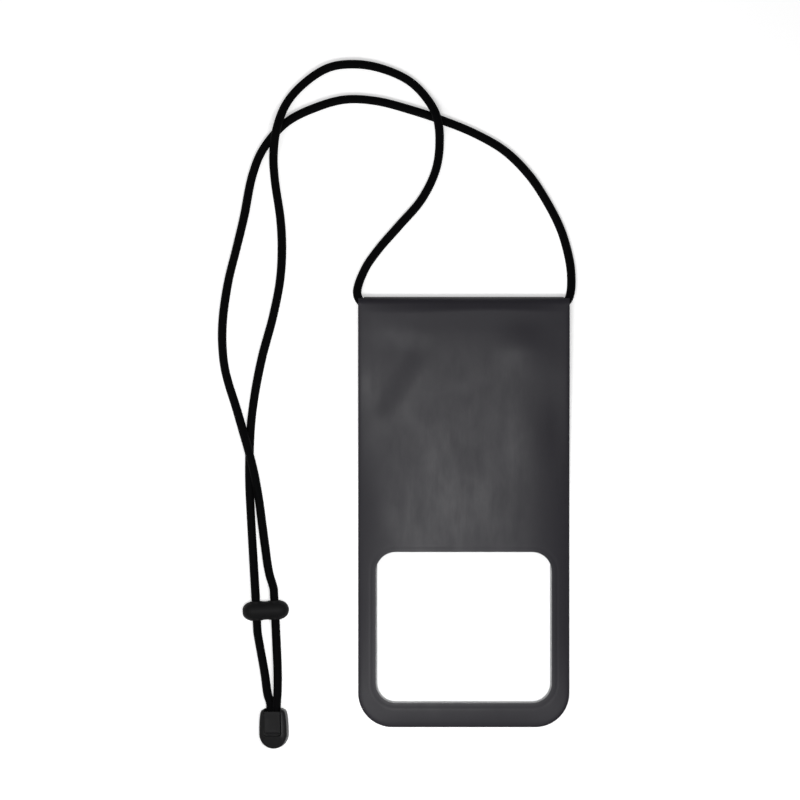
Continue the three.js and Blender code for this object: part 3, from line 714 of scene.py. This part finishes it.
def window_distance(lay, x, y):
    """Distance outwards from the edge of the camera window."""
    cy = lay.window_border + lay.window_height / 2 - lay.half_height
    dx = np.abs(x) - (lay.window_width / 2 - lay.window_radius)
    dy = np.abs(y - cy) - (lay.window_height / 2 - lay.window_radius)
    outside = np.hypot(np.maximum(dx, 0), np.maximum(dy, 0)) + np.minimum(np.maximum(dx, dy), 0)
    return outside - lay.window_radius


def back_inner(lay, x, y):
    """Inner side of the black sheet over the flat lay."""
    return lay.level(y) + lay.lift(y) + lay.bulge(x, y) + lay.ripple(x, y)


def weld_marks(lay, x, y):
    """The pressed line of the weld round the camera window, which is a narrow bell, and the rounded cut edges
    of the sheet and of its opening, which fall off by e to the minus of the way inwards."""
    window = window_distance(lay, x, y)
    line = 0.05 * np.exp(-(((window - 2.6) / 0.5) ** 2))
    rim = 0.35 * np.exp(-edge_distance(lay, x, y) / 0.6)
    opening = 0.05 * np.exp(-np.maximum(window, 0) / 0.35)
    return -line - rim - opening


def crowded(count, bend):
    """Places from -1 to 1 that crowd towards both ends: the sine of even turns over the sine of the last."""
    return np.sin(np.linspace(-1, 1, count + 1) * bend) / math.sin(bend)


# Squares of a sheet's grid: across, down each side, along the bottom, from the opening to the outline, round
# each third of the fold, and over the flap.
ACROSS, DOWN, BOTTOM, RINGS, ARC_ROWS, FLAP_ROWS = 116, 90, 120, 20, 9, 43
ROW_STEP, CLOSE_ROWS, CLOSE_RUN = 1.05, 20, 12  # rows of the panel, and closer ones before the fold
CROWDING = 1.25


def framed_sheet(lay, opening, split, body_offset, flap_offset, fold_offset, flap_end, outer):
    """One layer of a sheet with a rounded opening. Rings run from the opening's outline to the sheet's, as
    straight steps between them, and rows go on above the line at split, round the fold and to the flap's
    end. outer is 1 for the outer layer, which keeps its bulge into the fold."""
    notch = lay.half_width - lay.notch_depth
    columns = lay.half_width * crowded(ACROSS, CROWDING)
    for side in (-notch, notch):
        columns[np.abs(columns - side).argmin()] = side
    top = np.stack([columns[::-1], np.full_like(columns, split)], axis=-1)
    even = [np.linspace(0, 1, n + 1) for n in (ACROSS, DOWN, BOTTOM, DOWN)]
    inner = rounded_outline(*opening, even)
    around = [top, *corner_sides(lay, split, even)]
    inner_loop, outer_loop = (np.concatenate([part[:-1] for part in loop]) for loop in (inner, around))
    rings = inner_loop + (outer_loop - inner_loop) * np.linspace(0, 1, RINGS + 1)[:, None, None]
    grid = Grid()
    x, y = rings[..., 0], rings[..., 1]
    grid.add(lay.body(x, y, body_offset(x, y))[:, ::-1], closed=True)
    close = lay.fold_y - CLOSE_RUN
    rows = np.concatenate([np.arange(split, close, ROW_STEP), np.linspace(close, lay.fold_y, CLOSE_ROWS)])
    x, y = np.meshgrid(columns, rows)
    body = lay.body(x, y, body_offset(x, y))
    slot = math.asin(lay.notch_width / 2 / (lay.crease + lay.stack))
    turns = [math.pi / 2, slot, -slot, -math.pi / 2]
    angles = np.concatenate([np.linspace(a, b, ARC_ROWS + 1)[1:] for a, b in zip(turns, turns[1:])])
    x, angle = np.meshgrid(columns, angles)
    swelling = lay.bulge(x, lay.fold_y + lay.crease * np.cos(angle)) * np.sin(np.maximum(angle, 0)) * outer
    fold = lay.fold(x, angle, fold_offset + swelling)
    x, y = np.meshgrid(columns, np.linspace(lay.fold_y, flap_end, FLAP_ROWS + 1)[1:])
    flap = lay.flap_face(x, y, flap_offset(x, y))
    points = np.concatenate([body, fold, flap])
    keep = np.ones((len(points) - 1, ACROSS), bool)
    first = len(rows) + ARC_ROWS - 1
    keep[first : first + ARC_ROWS] = np.abs(columns[1:] + columns[:-1]) / 2 < notch
    grid.add(points, keep=keep)
    return grid


def corner_sides(lay, split, even):
    """The left, bottom and right sides of the outline below the split line, from the middle of one round
    bottom corner to the middle of the other, and up to the split line at both sides."""
    a, b = lay.half_width - lay.corner, lay.half_height - lay.corner
    arc = lay.corner * math.pi / 4
    down = split + b
    along = even[1] * (down + arc)
    turn = math.pi + np.maximum(along - down, 0) / lay.corner
    left_x = -a + lay.corner * np.cos(turn)
    left_y = np.where(along <= down, split - along, -b + lay.corner * np.sin(turn))
    along = even[2] * (2 * arc + 2 * a)
    turn = np.where(
        along <= arc,
        1.25 * math.pi + np.minimum(along, arc) / lay.corner,
        1.5 * math.pi + np.maximum(along - arc - 2 * a, 0) / lay.corner,
    )
    share = np.clip((along - arc) / (2 * a), 0, 1)
    bottom_x = -a + 2 * a * share + lay.corner * np.cos(turn)
    bottom_y = -b + lay.corner * np.sin(turn)
    left = np.stack([left_x, left_y], axis=-1)
    bottom = np.stack([bottom_x, bottom_y], axis=-1)
    right = np.stack([-left_x, left_y], axis=-1)[::-1]
    return left, bottom, right


def thickened(name, grid, thickness):
    """The layer with its thickness added on its inner side, as a mesh."""
    made = bpy.data.objects.new(name + "_layer", grid.mesh(name + "_layer", merge=1e-6))
    solid = made.modifiers.new("thickness", "SOLIDIFY")
    solid.thickness = thickness
    solid.offset = -1
    solid.use_even_offset = True
    return evaluated(made)


ABOVE_WINDOW, ABOVE_DISPLAY = 9, 8  # from each opening to the first straight row


class POUCH_OT_sheets(bpy.types.Operator):
    """Makes the black sheet of the camera side and the black border of the display side"""

    bl_idname = "pouch.sheets"
    bl_label = "Black sheets"

    def execute(self, context):
        sizes = context.scene.pouch_sizes
        lay = Lay(sizes)
        finish = black_sheet_finish("black_sheet", sizes.sheet_colour)

        def back(x, y):
            return back_inner(lay, x, y) + lay.back_sheet + weld_marks(lay, x, y)

        def plain_back(x, y):
            return np.full_like(x, lay.stack)

        middle = lay.window_border + lay.window_height / 2 - lay.half_height
        window = (lay.window_width, lay.window_height, lay.window_radius, middle)
        split = middle + lay.window_height / 2 + ABOVE_WINDOW
        grid = framed_sheet(lay, window, split, back, plain_back, lay.stack, lay.mouth, 1)
        data = thickened("camera_side_sheet", grid, lay.back_sheet * MM)
        piece("camera_side_sheet", data, finish, "pouch", ["back_panel"])

        def border(x, y):
            return lay.border_sheet + lay.lift(y) * smooth((np.abs(x) - EDGE_LIFT_FROM) / EDGE_LIFT_RUN)

        def border_flap(x, y):
            along = smooth((SEAL_HALF + SEAL_RAMP - np.abs(y - lay.seal_y)) / SEAL_RAMP)
            across = smooth((lay.inner_half - np.abs(x)) / SEAL_SIDE_RAMP)
            return lay.border_sheet - lay.seal_rise * along * across

        middle = lay.display_border + lay.display_height / 2 - lay.half_height
        display = (lay.display_width, lay.display_height, lay.display_radius, middle)
        split = middle + lay.display_height / 2 + ABOVE_DISPLAY
        flap_end = lay.mouth + lay.flap_lip
        grid = framed_sheet(lay, display, split, border, border_flap, lay.border_sheet, flap_end, 0)
        data = thickened("display_side_border", grid, lay.border_sheet * MM)
        piece("display_side_border", data, finish, "pouch", ["front_frame"])
        return {"FINISHED"}


PATCH_ROWS, PATCH_COLUMNS, PATCH_ARC, PATCH_CROWDING = 60, 60, 10, 1.2


def rounded_patch(low, high, half_width, radius, both_ends):
    """A filled rounded rectangle as rows: each row is as wide as the outline at its height, which in an arc
    is the full width less the radius, plus the root of radius squared less the way into the arc squared."""
    ends = np.sin(np.linspace(-math.pi / 2, 0, PATCH_ARC)) * radius
    start = low + radius + ends
    finish = high - radius - ends[::-1] if both_ends else np.array([high])
    y = np.concatenate([start[:-1], np.linspace(start[-1], finish[0], PATCH_ROWS), finish[1:]])
    into = np.maximum(0, low + radius - y)
    if both_ends:
        into = np.maximum(into, y - (high - radius))
    half = half_width - radius + np.sqrt(np.maximum(radius**2 - into**2, 0))
    share = crowded(PATCH_COLUMNS, PATCH_CROWDING)
    return half[:, None] * share, np.repeat(y[:, None], PATCH_COLUMNS + 1, axis=1)


FILM_INSET = 0.5  # the display film's edge behind the sheets' edge
SWELL_RAMP = 20  # from the window's edge to where its film stands out fully


class POUCH_OT_films(bpy.types.Operator):
    """Makes the clear film of the camera window and the clear front wall of the pocket"""

    bl_idname = "pouch.films"
    bl_label = "Clear films"

    def execute(self, context):
        sizes = context.scene.pouch_sizes
        lay = Lay(sizes)
        finish = clear_film_finish("clear_film", sizes.film_colour)
        margin = lay.window_overlap
        low = lay.window_border - lay.half_height - margin
        high = low + lay.window_height + 2 * margin
        x, y = rounded_patch(low, high, lay.window_width / 2 + margin, lay.window_radius + margin, True)
        grid = Grid()
        swell = lay.window_swell * smooth(-window_distance(lay, x, y) / SWELL_RAMP)
        grid.add(lay.body(x, y, back_inner(lay, x, y) - lay.gap + swell))
        data = thickened("camera_film", grid, lay.film * MM)
        piece("camera_film", data, finish, "pouch", ["camera_window"])
        half, corner = lay.half_width - FILM_INSET, lay.corner - FILM_INSET
        x, y = rounded_patch(FILM_INSET - lay.half_height, lay.film_top, half, corner, False)
        grid = Grid()
        raised = lay.border_sheet + lay.gap + lay.film
        grid.add(lay.body(x, y, np.full_like(x, raised)))
        data = thickened("display_film", grid, lay.film * MM)
        piece("display_film", data, finish, "pouch", ["display_window"])
        return {"FINISHED"}


def spline(points, per_span=40):
    """A centripetal Catmull-Rom curve through the points: each span is a cubic whose end tangents come from
    knots that lie apart by the square root of the points' distance."""
    p = np.array(points, float)
    p = np.concatenate([[2 * p[0] - p[1]], p, [2 * p[-1] - p[-2]]])
    p0, p1, p2, p3 = p[:-3], p[1:-2], p[2:-1], p[3:]
    d0, d1, d2 = (np.linalg.norm(b - a, axis=1)[:, None] ** 0.5 for a, b in ((p0, p1), (p1, p2), (p2, p3)))
    t1 = ((p1 - p0) / d0 - (p2 - p0) / (d0 + d1) + (p2 - p1) / d1) * d1
    t2 = ((p2 - p1) / d1 - (p3 - p1) / (d1 + d2) + (p3 - p2) / d2) * d1
    t = np.linspace(0, 1, per_span, endpoint=False)[None, :, None]
    a, b = p1[:, None], p2[:, None]
    t1, t2 = t1[:, None], t2[:, None]
    curve = a + t1 * t + (3 * (b - a) - 2 * t1 - t2) * t**2 + (2 * (a - b) + t1 + t2) * t**3
    return np.concatenate([curve.reshape(-1, 3), p[-2:-1]])


def evenly(points, stride):
    """The same line with points about a stride apart, all the same distance, and its length."""
    along = np.concatenate([[0], np.cumsum(np.linalg.norm(np.diff(points, axis=0), axis=1))])
    steps = round(along[-1] / stride)
    wanted = np.linspace(0, along[-1], steps + 1)
    return np.stack([np.interp(wanted, along, points[:, k]) for k in range(3)], axis=-1), along[-1]


def strand_in_end(side):
    """The places that hold a strand straight in the cord end's neck."""
    local = np.array([[side * STRAND_APART / 2, y, side * STRAND_RISE / 2] for y in STRAND_SEATS])
    return (local @ end_matrix().T + END_PLACE).tolist()


def strand_at_slider(side):
    """The four places that keep a strand straight through the slider."""
    direction = np.array([math.sin(SLIDER_TURN), -math.cos(SLIDER_TURN), 0])
    across = np.array([math.cos(SLIDER_TURN), math.sin(SLIDER_TURN), 0])
    near, far = STRAIGHT_RUN
    middle = SLIDER_PLACE + across * side * STRAND_SPACING / 2
    return [tuple(middle + direction * run) for run in (far, near, -near, -far)]


def cord_route():
    """All places of the cord in order, from the cord end through the slider, loops and fold and back."""
    left_mouth = [(-x, y, z) for x, y, z in FOLD_END]
    return [
        *strand_in_end(-1),
        *TO_END_LEFT[::-1],
        *strand_at_slider(-1),
        *OUTER_LOOP,
        *left_mouth,
        *FOLD_END[::-1],
        *INNER_LOOP,
        *strand_at_slider(1)[::-1],
        *TO_END_RIGHT,
        *strand_in_end(1)[::-1],
    ]


AROUND = 32  # points round the cord
RINGS_PER_STITCH = 4
THICK_AND_THIN, THICK_RUN = 0.018, 9  # how unevenly the cord is braided, and over which run


class POUCH_OT_cord(bpy.types.Operator):
    """Makes the braided neck cord along its route, its relief the product of one cosine for each way round"""

    bl_idname = "pouch.cord"
    bl_label = "Neck cord"

    def execute(self, context):
        sizes = context.scene.pouch_cord
        radius = sizes.diameter / MM / 2
        pitch = sizes.braid_pitch / MM
        relief = sizes.braid_relief / MM
        line = spline(cord_route())
        line[:, 2] = np.maximum(line[:, 2], LIE)
        line, total = evenly(line, pitch / RINGS_PER_STITCH)
        tangent = np.gradient(line, axis=0)
        tangent /= np.linalg.norm(tangent, axis=1)[:, None]
        side = np.cross([0, 0, 1], tangent)
        side /= np.linalg.norm(side, axis=1)[:, None]
        upward = np.cross(tangent, side)
        turns = np.arange(AROUND)[None] / AROUND
        angle = turns[0] * 2 * math.pi
        stitch = np.arange(len(line))[:, None] / RINGS_PER_STITCH
        right, left = (np.cos(2 * math.pi * (STRANDS_ROUND * turns + way * stitch)) for way in (1, -1))
        braid = right * left
        uneven = 1 + THICK_AND_THIN * np.sin(stitch * pitch / THICK_RUN)
        reach = (radius - relief * (0.5 - 0.5 * braid)) * uneven
        ring = np.cos(angle)[None, :, None] * side[:, None] + np.sin(angle)[None, :, None] * upward[:, None]
        points = line[:, None] + ring * reach[..., None]
        surface = np.stack(np.meshgrid(np.arange(AROUND + 1) / AROUND, stitch[:, 0]), axis=-1)
        data = capped_tube("neck_cord", points, surface)
        finish = braid_finish("braided_cord", sizes.cord_colour)
        made = piece("braided_cord", data, finish, "pouch", ["neck_cord"], sharp=60)
        return {"FINISHED"}


def capped_tube(name, points, surface):
    """A tube in metres from rings of points in millimetres, closed by a disc at both ends. surface is its
    map, with one column more than the rings have points. The discs lie in the map's corner."""
    grid = Grid()
    rings = grid.add(points, closed=True)
    made = bpy.data.meshes.new(name)
    faces = [*grid.faces[0].tolist(), rings[0][::-1].tolist(), rings[-1].tolist()]
    made.from_pydata(grid.points[0] * MM, [], faces)
    corners = [surface[:-1, :-1], surface[:-1, 1:], surface[1:, 1:], surface[1:, :-1]]
    places = np.stack(corners, axis=2).reshape(-1, 2)
    mapped = np.zeros((len(made.loops), 2))
    mapped[: len(places)] = places
    made.uv_layers.new(name="surface").uv.foreach_set("vector", mapped.ravel())
    made.validate()
    return made


def round_most(a, b, radius):
    """The greater of two distances, with the corner between them rounded."""
    near = np.maximum(radius - np.abs(a - b), 0) / radius
    return np.maximum(a, b) + near**2 * radius / 4


def round_least(a, b, radius):
    """The lesser of two distances, with the corner between them filled."""
    return -round_most(-a, -b, radius)


def box_distance(x, y, z, low, high, radius=0.0):
    """Distance from a box with rounded edges: the length of what lies outside the box less the radius."""
    parts = [np.maximum(a - p, p - b) + radius for p, a, b in zip((x, y, z), low, high)]
    outside = np.sqrt(sum(np.maximum(part, 0) ** 2 for part in parts))
    return outside + np.minimum(np.maximum.reduce(parts), 0) - radius


def outline_distance(x, y, outline):
    """Distance from a closed outline, negative inside it: the least distance from any of its sides, with the
    sign from how often a line towards +X meets them."""
    least = np.full(x.shape, 1e9)
    inside = np.zeros(x.shape, bool)
    for (ax, ay), (bx, by) in zip(outline, np.roll(outline, -1, axis=0)):
        dx, dy = bx - ax, by - ay
        share = np.clip(((x - ax) * dx + (y - ay) * dy) / (dx * dx + dy * dy), 0, 1)
        least = np.minimum(least, (x - ax - share * dx) ** 2 + (y - ay - share * dy) ** 2)
        if dy:
            inside ^= ((ay > y) != (by > y)) & (x < ax + (y - ay) * dx / dy)
    return np.where(inside, -1, 1) * np.sqrt(least)


SLIDES = 3  # how often the points of a net slide onto their surface
NUDGE = 0.02  # in millimetres, over which a distance's slope is measured
LEAST_SLOPE = 0.25  # squared, so that a point near a ridge doesn't slide far


def surface_net(distance, low, high, step):
    """The surface where a distance is 0, as a net of squares. Each cell of a cubic lattice that the surface
    passes gets one point, the mean of where the surface cuts its edges, and each cut edge joins its four
    cells. The points then slide along the distance's slope onto the surface."""
    axes = [np.arange(a, b + step, step) for a, b in zip(low, high)]
    lattice = np.stack(np.meshgrid(*axes, indexing="ij"))
    value = distance(*lattice)
    cells = tuple(n - 1 for n in value.shape)
    total = np.zeros((3, *cells))
    cuts = np.zeros(cells)
    for axis in range(3):
        for shift in ((0, 0), (0, 1), (1, 0), (1, 1)):
            others = iter(shift)
            first, second, offset = [], [], []
            for k, n in enumerate(cells):
                move = 0 if k == axis else next(others)
                offset.append(move)
                first.append(slice(move, move + n))
                second.append(slice(move + (k == axis), move + (k == axis) + n))
            a, b = value[tuple(first)], value[tuple(second)]
            cut = (a < 0) != (b < 0)
            share = np.where(cut, a / np.where(cut, a - b, 1), 0)
            for k in range(3):
                total[k] += cut * (share if k == axis else offset[k])
            cuts += cut
    used = cuts > 0
    cell = np.nonzero(used)
    points = np.stack([axes[k][cell[k]] + step * total[k][used] / cuts[used] for k in range(3)], axis=-1)
    index = np.full(cells, -1)
    index[used] = np.arange(len(points))
    squares = []
    for axis in range(3):
        u, v = (axis + 1) % 3, (axis + 2) % 3
        inner = [slice(1, n) for n in cells]
        inner[axis] = slice(0, cells[axis])
        ahead = [slice(s.start, s.stop) for s in inner]
        ahead[axis] = slice(1, cells[axis] + 1)
        a, b = value[tuple(inner)], value[tuple(ahead)]
        for rising in (True, False):
            at = np.nonzero((a < 0) & (b >= 0) if rising else (a >= 0) & (b < 0))
            place = [at[k] + (0 if k == axis else 1) for k in range(3)]
            corners = []
            for du, dv in ((1, 1), (0, 1), (0, 0), (1, 0)):
                corner = list(place)
                corner[u] = corner[u] - du
                corner[v] = corner[v] - dv
                corners.append(index[tuple(corner)])
            squares.append(np.stack(corners if rising else corners[::-1], axis=-1))
    for _ in range(SLIDES):
        here = distance(*points.T)
        ahead = [distance(*(points + nudge).T) for nudge in NUDGE * np.eye(3)]
        slope = (np.stack(ahead, axis=-1) - here[:, None]) / NUDGE
        points -= slope * (here / np.maximum((slope**2).sum(axis=1), LEAST_SLOPE))[:, None]
    return points, np.concatenate(squares)


# The slider in millimetres: the lines where its domes meet the barrel, its collars and the dimple in one end.
LINE_DEPTH, LINE_WIDTH, LINE_INSET = 0.1, 0.16, 0.5
COLLAR_PROUD = 0.1
DIMPLE_RADIUS, DIMPLE_DEPTH = 1.2, 1

# The cord end in millimetres and radians: the right side of its outline down to where it is widest, how far
# down that is as a share of its length, the rounding of its edges, and the slopes and starts of two cuts.
END_SIDE = [(3.6, 0.55), (4.3, -0.15), (5.75, -1.0), (6.3, -2.1), (6.6, -3.8), (6.85, -6.2), (7.0, -9.2)]
WIDEST_SHARE = 0.627
END_EDGE = 2.3
NOSE_SLOPE, NOSE_START = math.radians(24), 14.4
FLANK_SLOPE, FLANK_START = 0.42, 4.5

# Boxes on the cord end, each from a low to a high corner, in millimetres: the trough in Y and Z, the seat of
# the lid, the lid's plate and one of its legs.
TROUGH_LOW, TROUGH_HIGH = (-11.8, -3.7), (6, 9)
SEAT = ((-4.3, -13.75, 3.5), (4.3, -1.2, 9))
PLATE = ((-4.0, -13.45, 3.7), (4.0, -1.5, 4.8))
LEG = ((2.9, -11.6, 0.7), (3.6, -9.4, 4.2))

# The lid in millimetres: its corners, its grip, and its dish with how far that reaches in X, Y and down in Z.
LID_CORNER = 0.85
GRIP_HALF, GRIP_Y, GRIP_RADIUS = 3.2, -12.6, 0.55
DISH_DEPTH, DISH_Y, DISH_REACH = 0.12, -7.5, (3.0, 3.8, 4.2)


def slider_distance(sizes):
    """The slider's distance field in millimetres: a capsule along X, a collar round each hole, the holes with
    rounded mouths, a dimple in one end, and the two fine lines where the domes meet the barrel."""
    radius = sizes.slider_diameter / MM / 2
    straight = sizes.slider_length / MM / 2 - radius
    spacing, hole, collar = (size / MM for size in (sizes.strand_spacing, sizes.hole, sizes.collar))

    def distance(x, y, z):
        capsule = np.sqrt(np.maximum(np.abs(x) - straight, 0) ** 2 + y**2 + z**2) - radius
        lines = LINE_DEPTH * np.exp(-(((np.abs(x) - straight - LINE_INSET) / LINE_WIDTH) ** 2))
        from_axis = np.hypot(np.abs(x) - spacing / 2, z)
        rim = round_most(from_axis - collar, np.abs(y) - radius - COLLAR_PROUD, 0.35)
        body = round_least(capsule + lines, rim, 0.7)
        bored = round_most(body, hole - from_axis, 0.45)
        dimple = np.maximum(np.hypot(y, z) - DIMPLE_RADIUS, x + straight + radius - DIMPLE_DEPTH)
        return round_most(bored, -dimple, 0.4)

    return distance


def end_outline(sizes):
    """The cord end's outline, half of it mirrored: a sloping neck, shoulders, a slow swell and an elliptical
    nose."""
    wide, height = sizes.end_width / MM / 2, sizes.end_length / MM
    widest = height * WIDEST_SHARE
    turn = np.linspace(0, math.pi / 2, 15)
    nose = np.stack([wide * np.cos(turn), -widest - (height - widest) * np.sin(turn)], axis=-1)
    right = np.concatenate([END_SIDE, nose])
    return np.concatenate([right, right[-2::-1] * (-1, 1)])


def end_distance(sizes):
    """The cord end's distance field in millimetres: its outline drawn through its thickness with rounded
    edges, less a sloping cut above the nose, one along each flank, the strands' trough and the lid's seat."""
    outline = end_outline(sizes)
    half, trough = sizes.end_thickness / MM / 2, sizes.trough / MM

    def distance(x, y, z):
        across = outline_distance(x, y, outline) + END_EDGE
        through = np.abs(z) - half + END_EDGE
        outside = np.hypot(np.maximum(across, 0), np.maximum(through, 0))
        body = outside + np.minimum(np.maximum(across, through), 0) - END_EDGE
        cut = (z - half) * math.cos(NOSE_SLOPE) - (y + NOSE_START) * math.sin(NOSE_SLOPE)
        body = round_most(body, cut, 0.5)
        flank = (z - half) * math.cos(FLANK_SLOPE) + (np.abs(x) - FLANK_START) * math.sin(FLANK_SLOPE)
        body = round_most(body, flank, 0.6)
        channel = box_distance(x, y, z, (-trough, *TROUGH_LOW), (trough, *TROUGH_HIGH), 0.5)
        seat = box_distance(x, y, z, *SEAT, 0.9)
        return round_most(round_most(body, -channel, 0.35), -seat, 0.15)

    return distance


def lid_distance(x, y, z):
    """The snap lid's distance field in millimetres: a plate with round corners, a raised grip at its lower
    edge and a shallow dish above that, and the two legs that snap into the trough."""
    (_, low, _), (side, high, top) = PLATE
    beside = np.maximum(np.abs(x) - (side - LID_CORNER), 0)
    beyond = np.maximum(np.abs(y - (low + high) / 2) - ((high - low) / 2 - LID_CORNER), 0)
    plate = round_most(box_distance(x, y, z, *PLATE, 0.25), np.hypot(beside, beyond) - LID_CORNER, 0.2)
    grip = np.hypot(np.maximum(np.abs(x) - GRIP_HALF, 0), np.hypot(y - GRIP_Y, z - top)) - GRIP_RADIUS
    plate = round_least(plate, grip, 0.5)
    reach_x, reach_y, under = DISH_REACH
    dish = DISH_DEPTH * np.exp(-((x / reach_x) ** 4) - ((y - DISH_Y) / reach_y) ** 4) * (z > under)
    legs = box_distance(np.abs(x), y, z, *LEG, 0.15)
    return round_least(plate + dish, legs, 0.3)


def moulding(name, distance, box, step, turn, place, body, finish, node):
    """A moulded piece from its distance field, turned and moved from millimetres of its own to its place."""
    points, squares = surface_net(distance, *box, step)
    grid = Grid()
    grid.points.append(points @ turn.T + place)
    grid.faces.append(squares)
    piece(name, grid.mesh(name), finish, body, [node], sharp=180)


# In millimetres, the lattices' steps, the room in them round the slider and the cord end, and the lid's.
FINE, COARSE = 0.15, 0.3
SLIDER_ROOM, COLLAR_ROOM, END_ROOM, NECK_ROOM = 0.5, 0.8, 0.6, 1.2
LID_BOX = ((-4.4, -14.2, 0.2), (4.4, -1.4, 5.9))


class POUCH_OT_fittings(bpy.types.Operator):
    """Makes the slider, the cord end's shell and its snap lid"""

    bl_idname = "pouch.fittings"
    bl_label = "Slider and cord end"

    def execute(self, context):
        sizes = context.scene.pouch_fittings
        finish = moulded_finish("moulded_black", sizes.moulded_colour, 0.13, 0.36)
        matt = moulded_finish("moulded_black_matt", scaled(sizes.moulded_colour, 0.8), 0.08, 0.5)
        step = FINE
        wide = sizes.slider_length / MM / 2 + SLIDER_ROOM
        thick = sizes.slider_diameter / MM / 2 + COLLAR_ROOM
        box = ((-wide, -thick, -thick), (wide, thick, thick))
        turn = np.array(Euler((0, 0, SLIDER_TURN)).to_matrix())
        shape = slider_distance(sizes)
        moulding("slider", shape, box, step, turn, SLIDER_PLACE, "slider", matt, "cord_slider")
        wide = sizes.end_width / MM / 2 + END_ROOM
        thick = sizes.end_thickness / MM / 2 + END_ROOM
        box = ((-wide, -sizes.end_length / MM - END_ROOM, -thick), (wide, NECK_ROOM, thick))
        rest = (end_matrix(), END_PLACE, "pouch", finish)
        moulding("cord_end", end_distance(sizes), box, step, *rest, "cord_end_body")
        moulding("snap_lid", lid_distance, LID_BOX, step * 0.8, *rest, "cord_end_lid")
        return {"FINISHED"}


def refinish(name, material):
    """Gives a carried CAD node its finish."""
    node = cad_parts[name]
    node.data.materials.clear()
    node.data.materials.append(material)


class POUCH_OT_strips(bpy.types.Operator):
    """Gives the press seal, the hook and loop strips and the cord's sleeve their finishes"""

    bl_idname = "pouch.strips"
    bl_label = "Strips in the flap"

    def execute(self, context):
        seal = seal_finish("seal_strip")
        for name in ("zip_rib_strip", "zip_groove_strip"):
            refinish(name, seal)
        refinish("hook_strip", tape_finish("hook_tape", (0.012, 0.012, 0.013), 1500.0))
        refinish("loop_strip", tape_finish("loop_tape", (0.014, 0.014, 0.015), 900.0))
        sheet_colour = context.scene.pouch_sizes.sheet_colour
        refinish("cord_sleeve", black_sheet_finish("sleeve_sheet", sheet_colour))
        return {"FINISHED"}


OPERATORS = [
    POUCH_OT_stage,
    POUCH_OT_fittings,
    POUCH_OT_cord,
    POUCH_OT_sheets,
    POUCH_OT_films,
    POUCH_OT_strips,
]


class POUCH_PT_panel(bpy.types.Panel):
    """Lists the pieces of the pouch"""

    bl_idname = "POUCH_PT_panel"
    bl_label = "Phone pouch"
    bl_space_type = "VIEW_3D"
    bl_region_type = "UI"
    bl_category = "Pouch"

    def draw(self, context):
        for made in OPERATORS:
            self.layout.operator(made.bl_idname)


SETTINGS = {
    "pouch_sizes": PouchSizes,
    "pouch_cord": CordSizes,
    "pouch_fittings": FittingSizes,
    "pouch_stage": StageSettings,
}
CLASSES = [*SETTINGS.values(), *OPERATORS, POUCH_PT_panel]


def register():
    """Registers the classes and gives the scene its settings."""
    for made in CLASSES:
        bpy.utils.register_class(made)
    for name, group in SETTINGS.items():
        setattr(bpy.types.Scene, name, PointerProperty(type=group))


def unregister():
    """Takes the settings and the classes away again."""
    for name in SETTINGS:
        delattr(bpy.types.Scene, name)
    for made in reversed(CLASSES):
        bpy.utils.unregister_class(made)


def main():
    """Builds the pouch piece by piece."""
    register()
    bpy.ops.pouch.stage()
    bpy.ops.pouch.fittings()
    bpy.ops.pouch.cord()
    bpy.ops.pouch.sheets()
    bpy.ops.pouch.films()
    bpy.ops.pouch.strips()


if __name__ == "__main__":
    main()
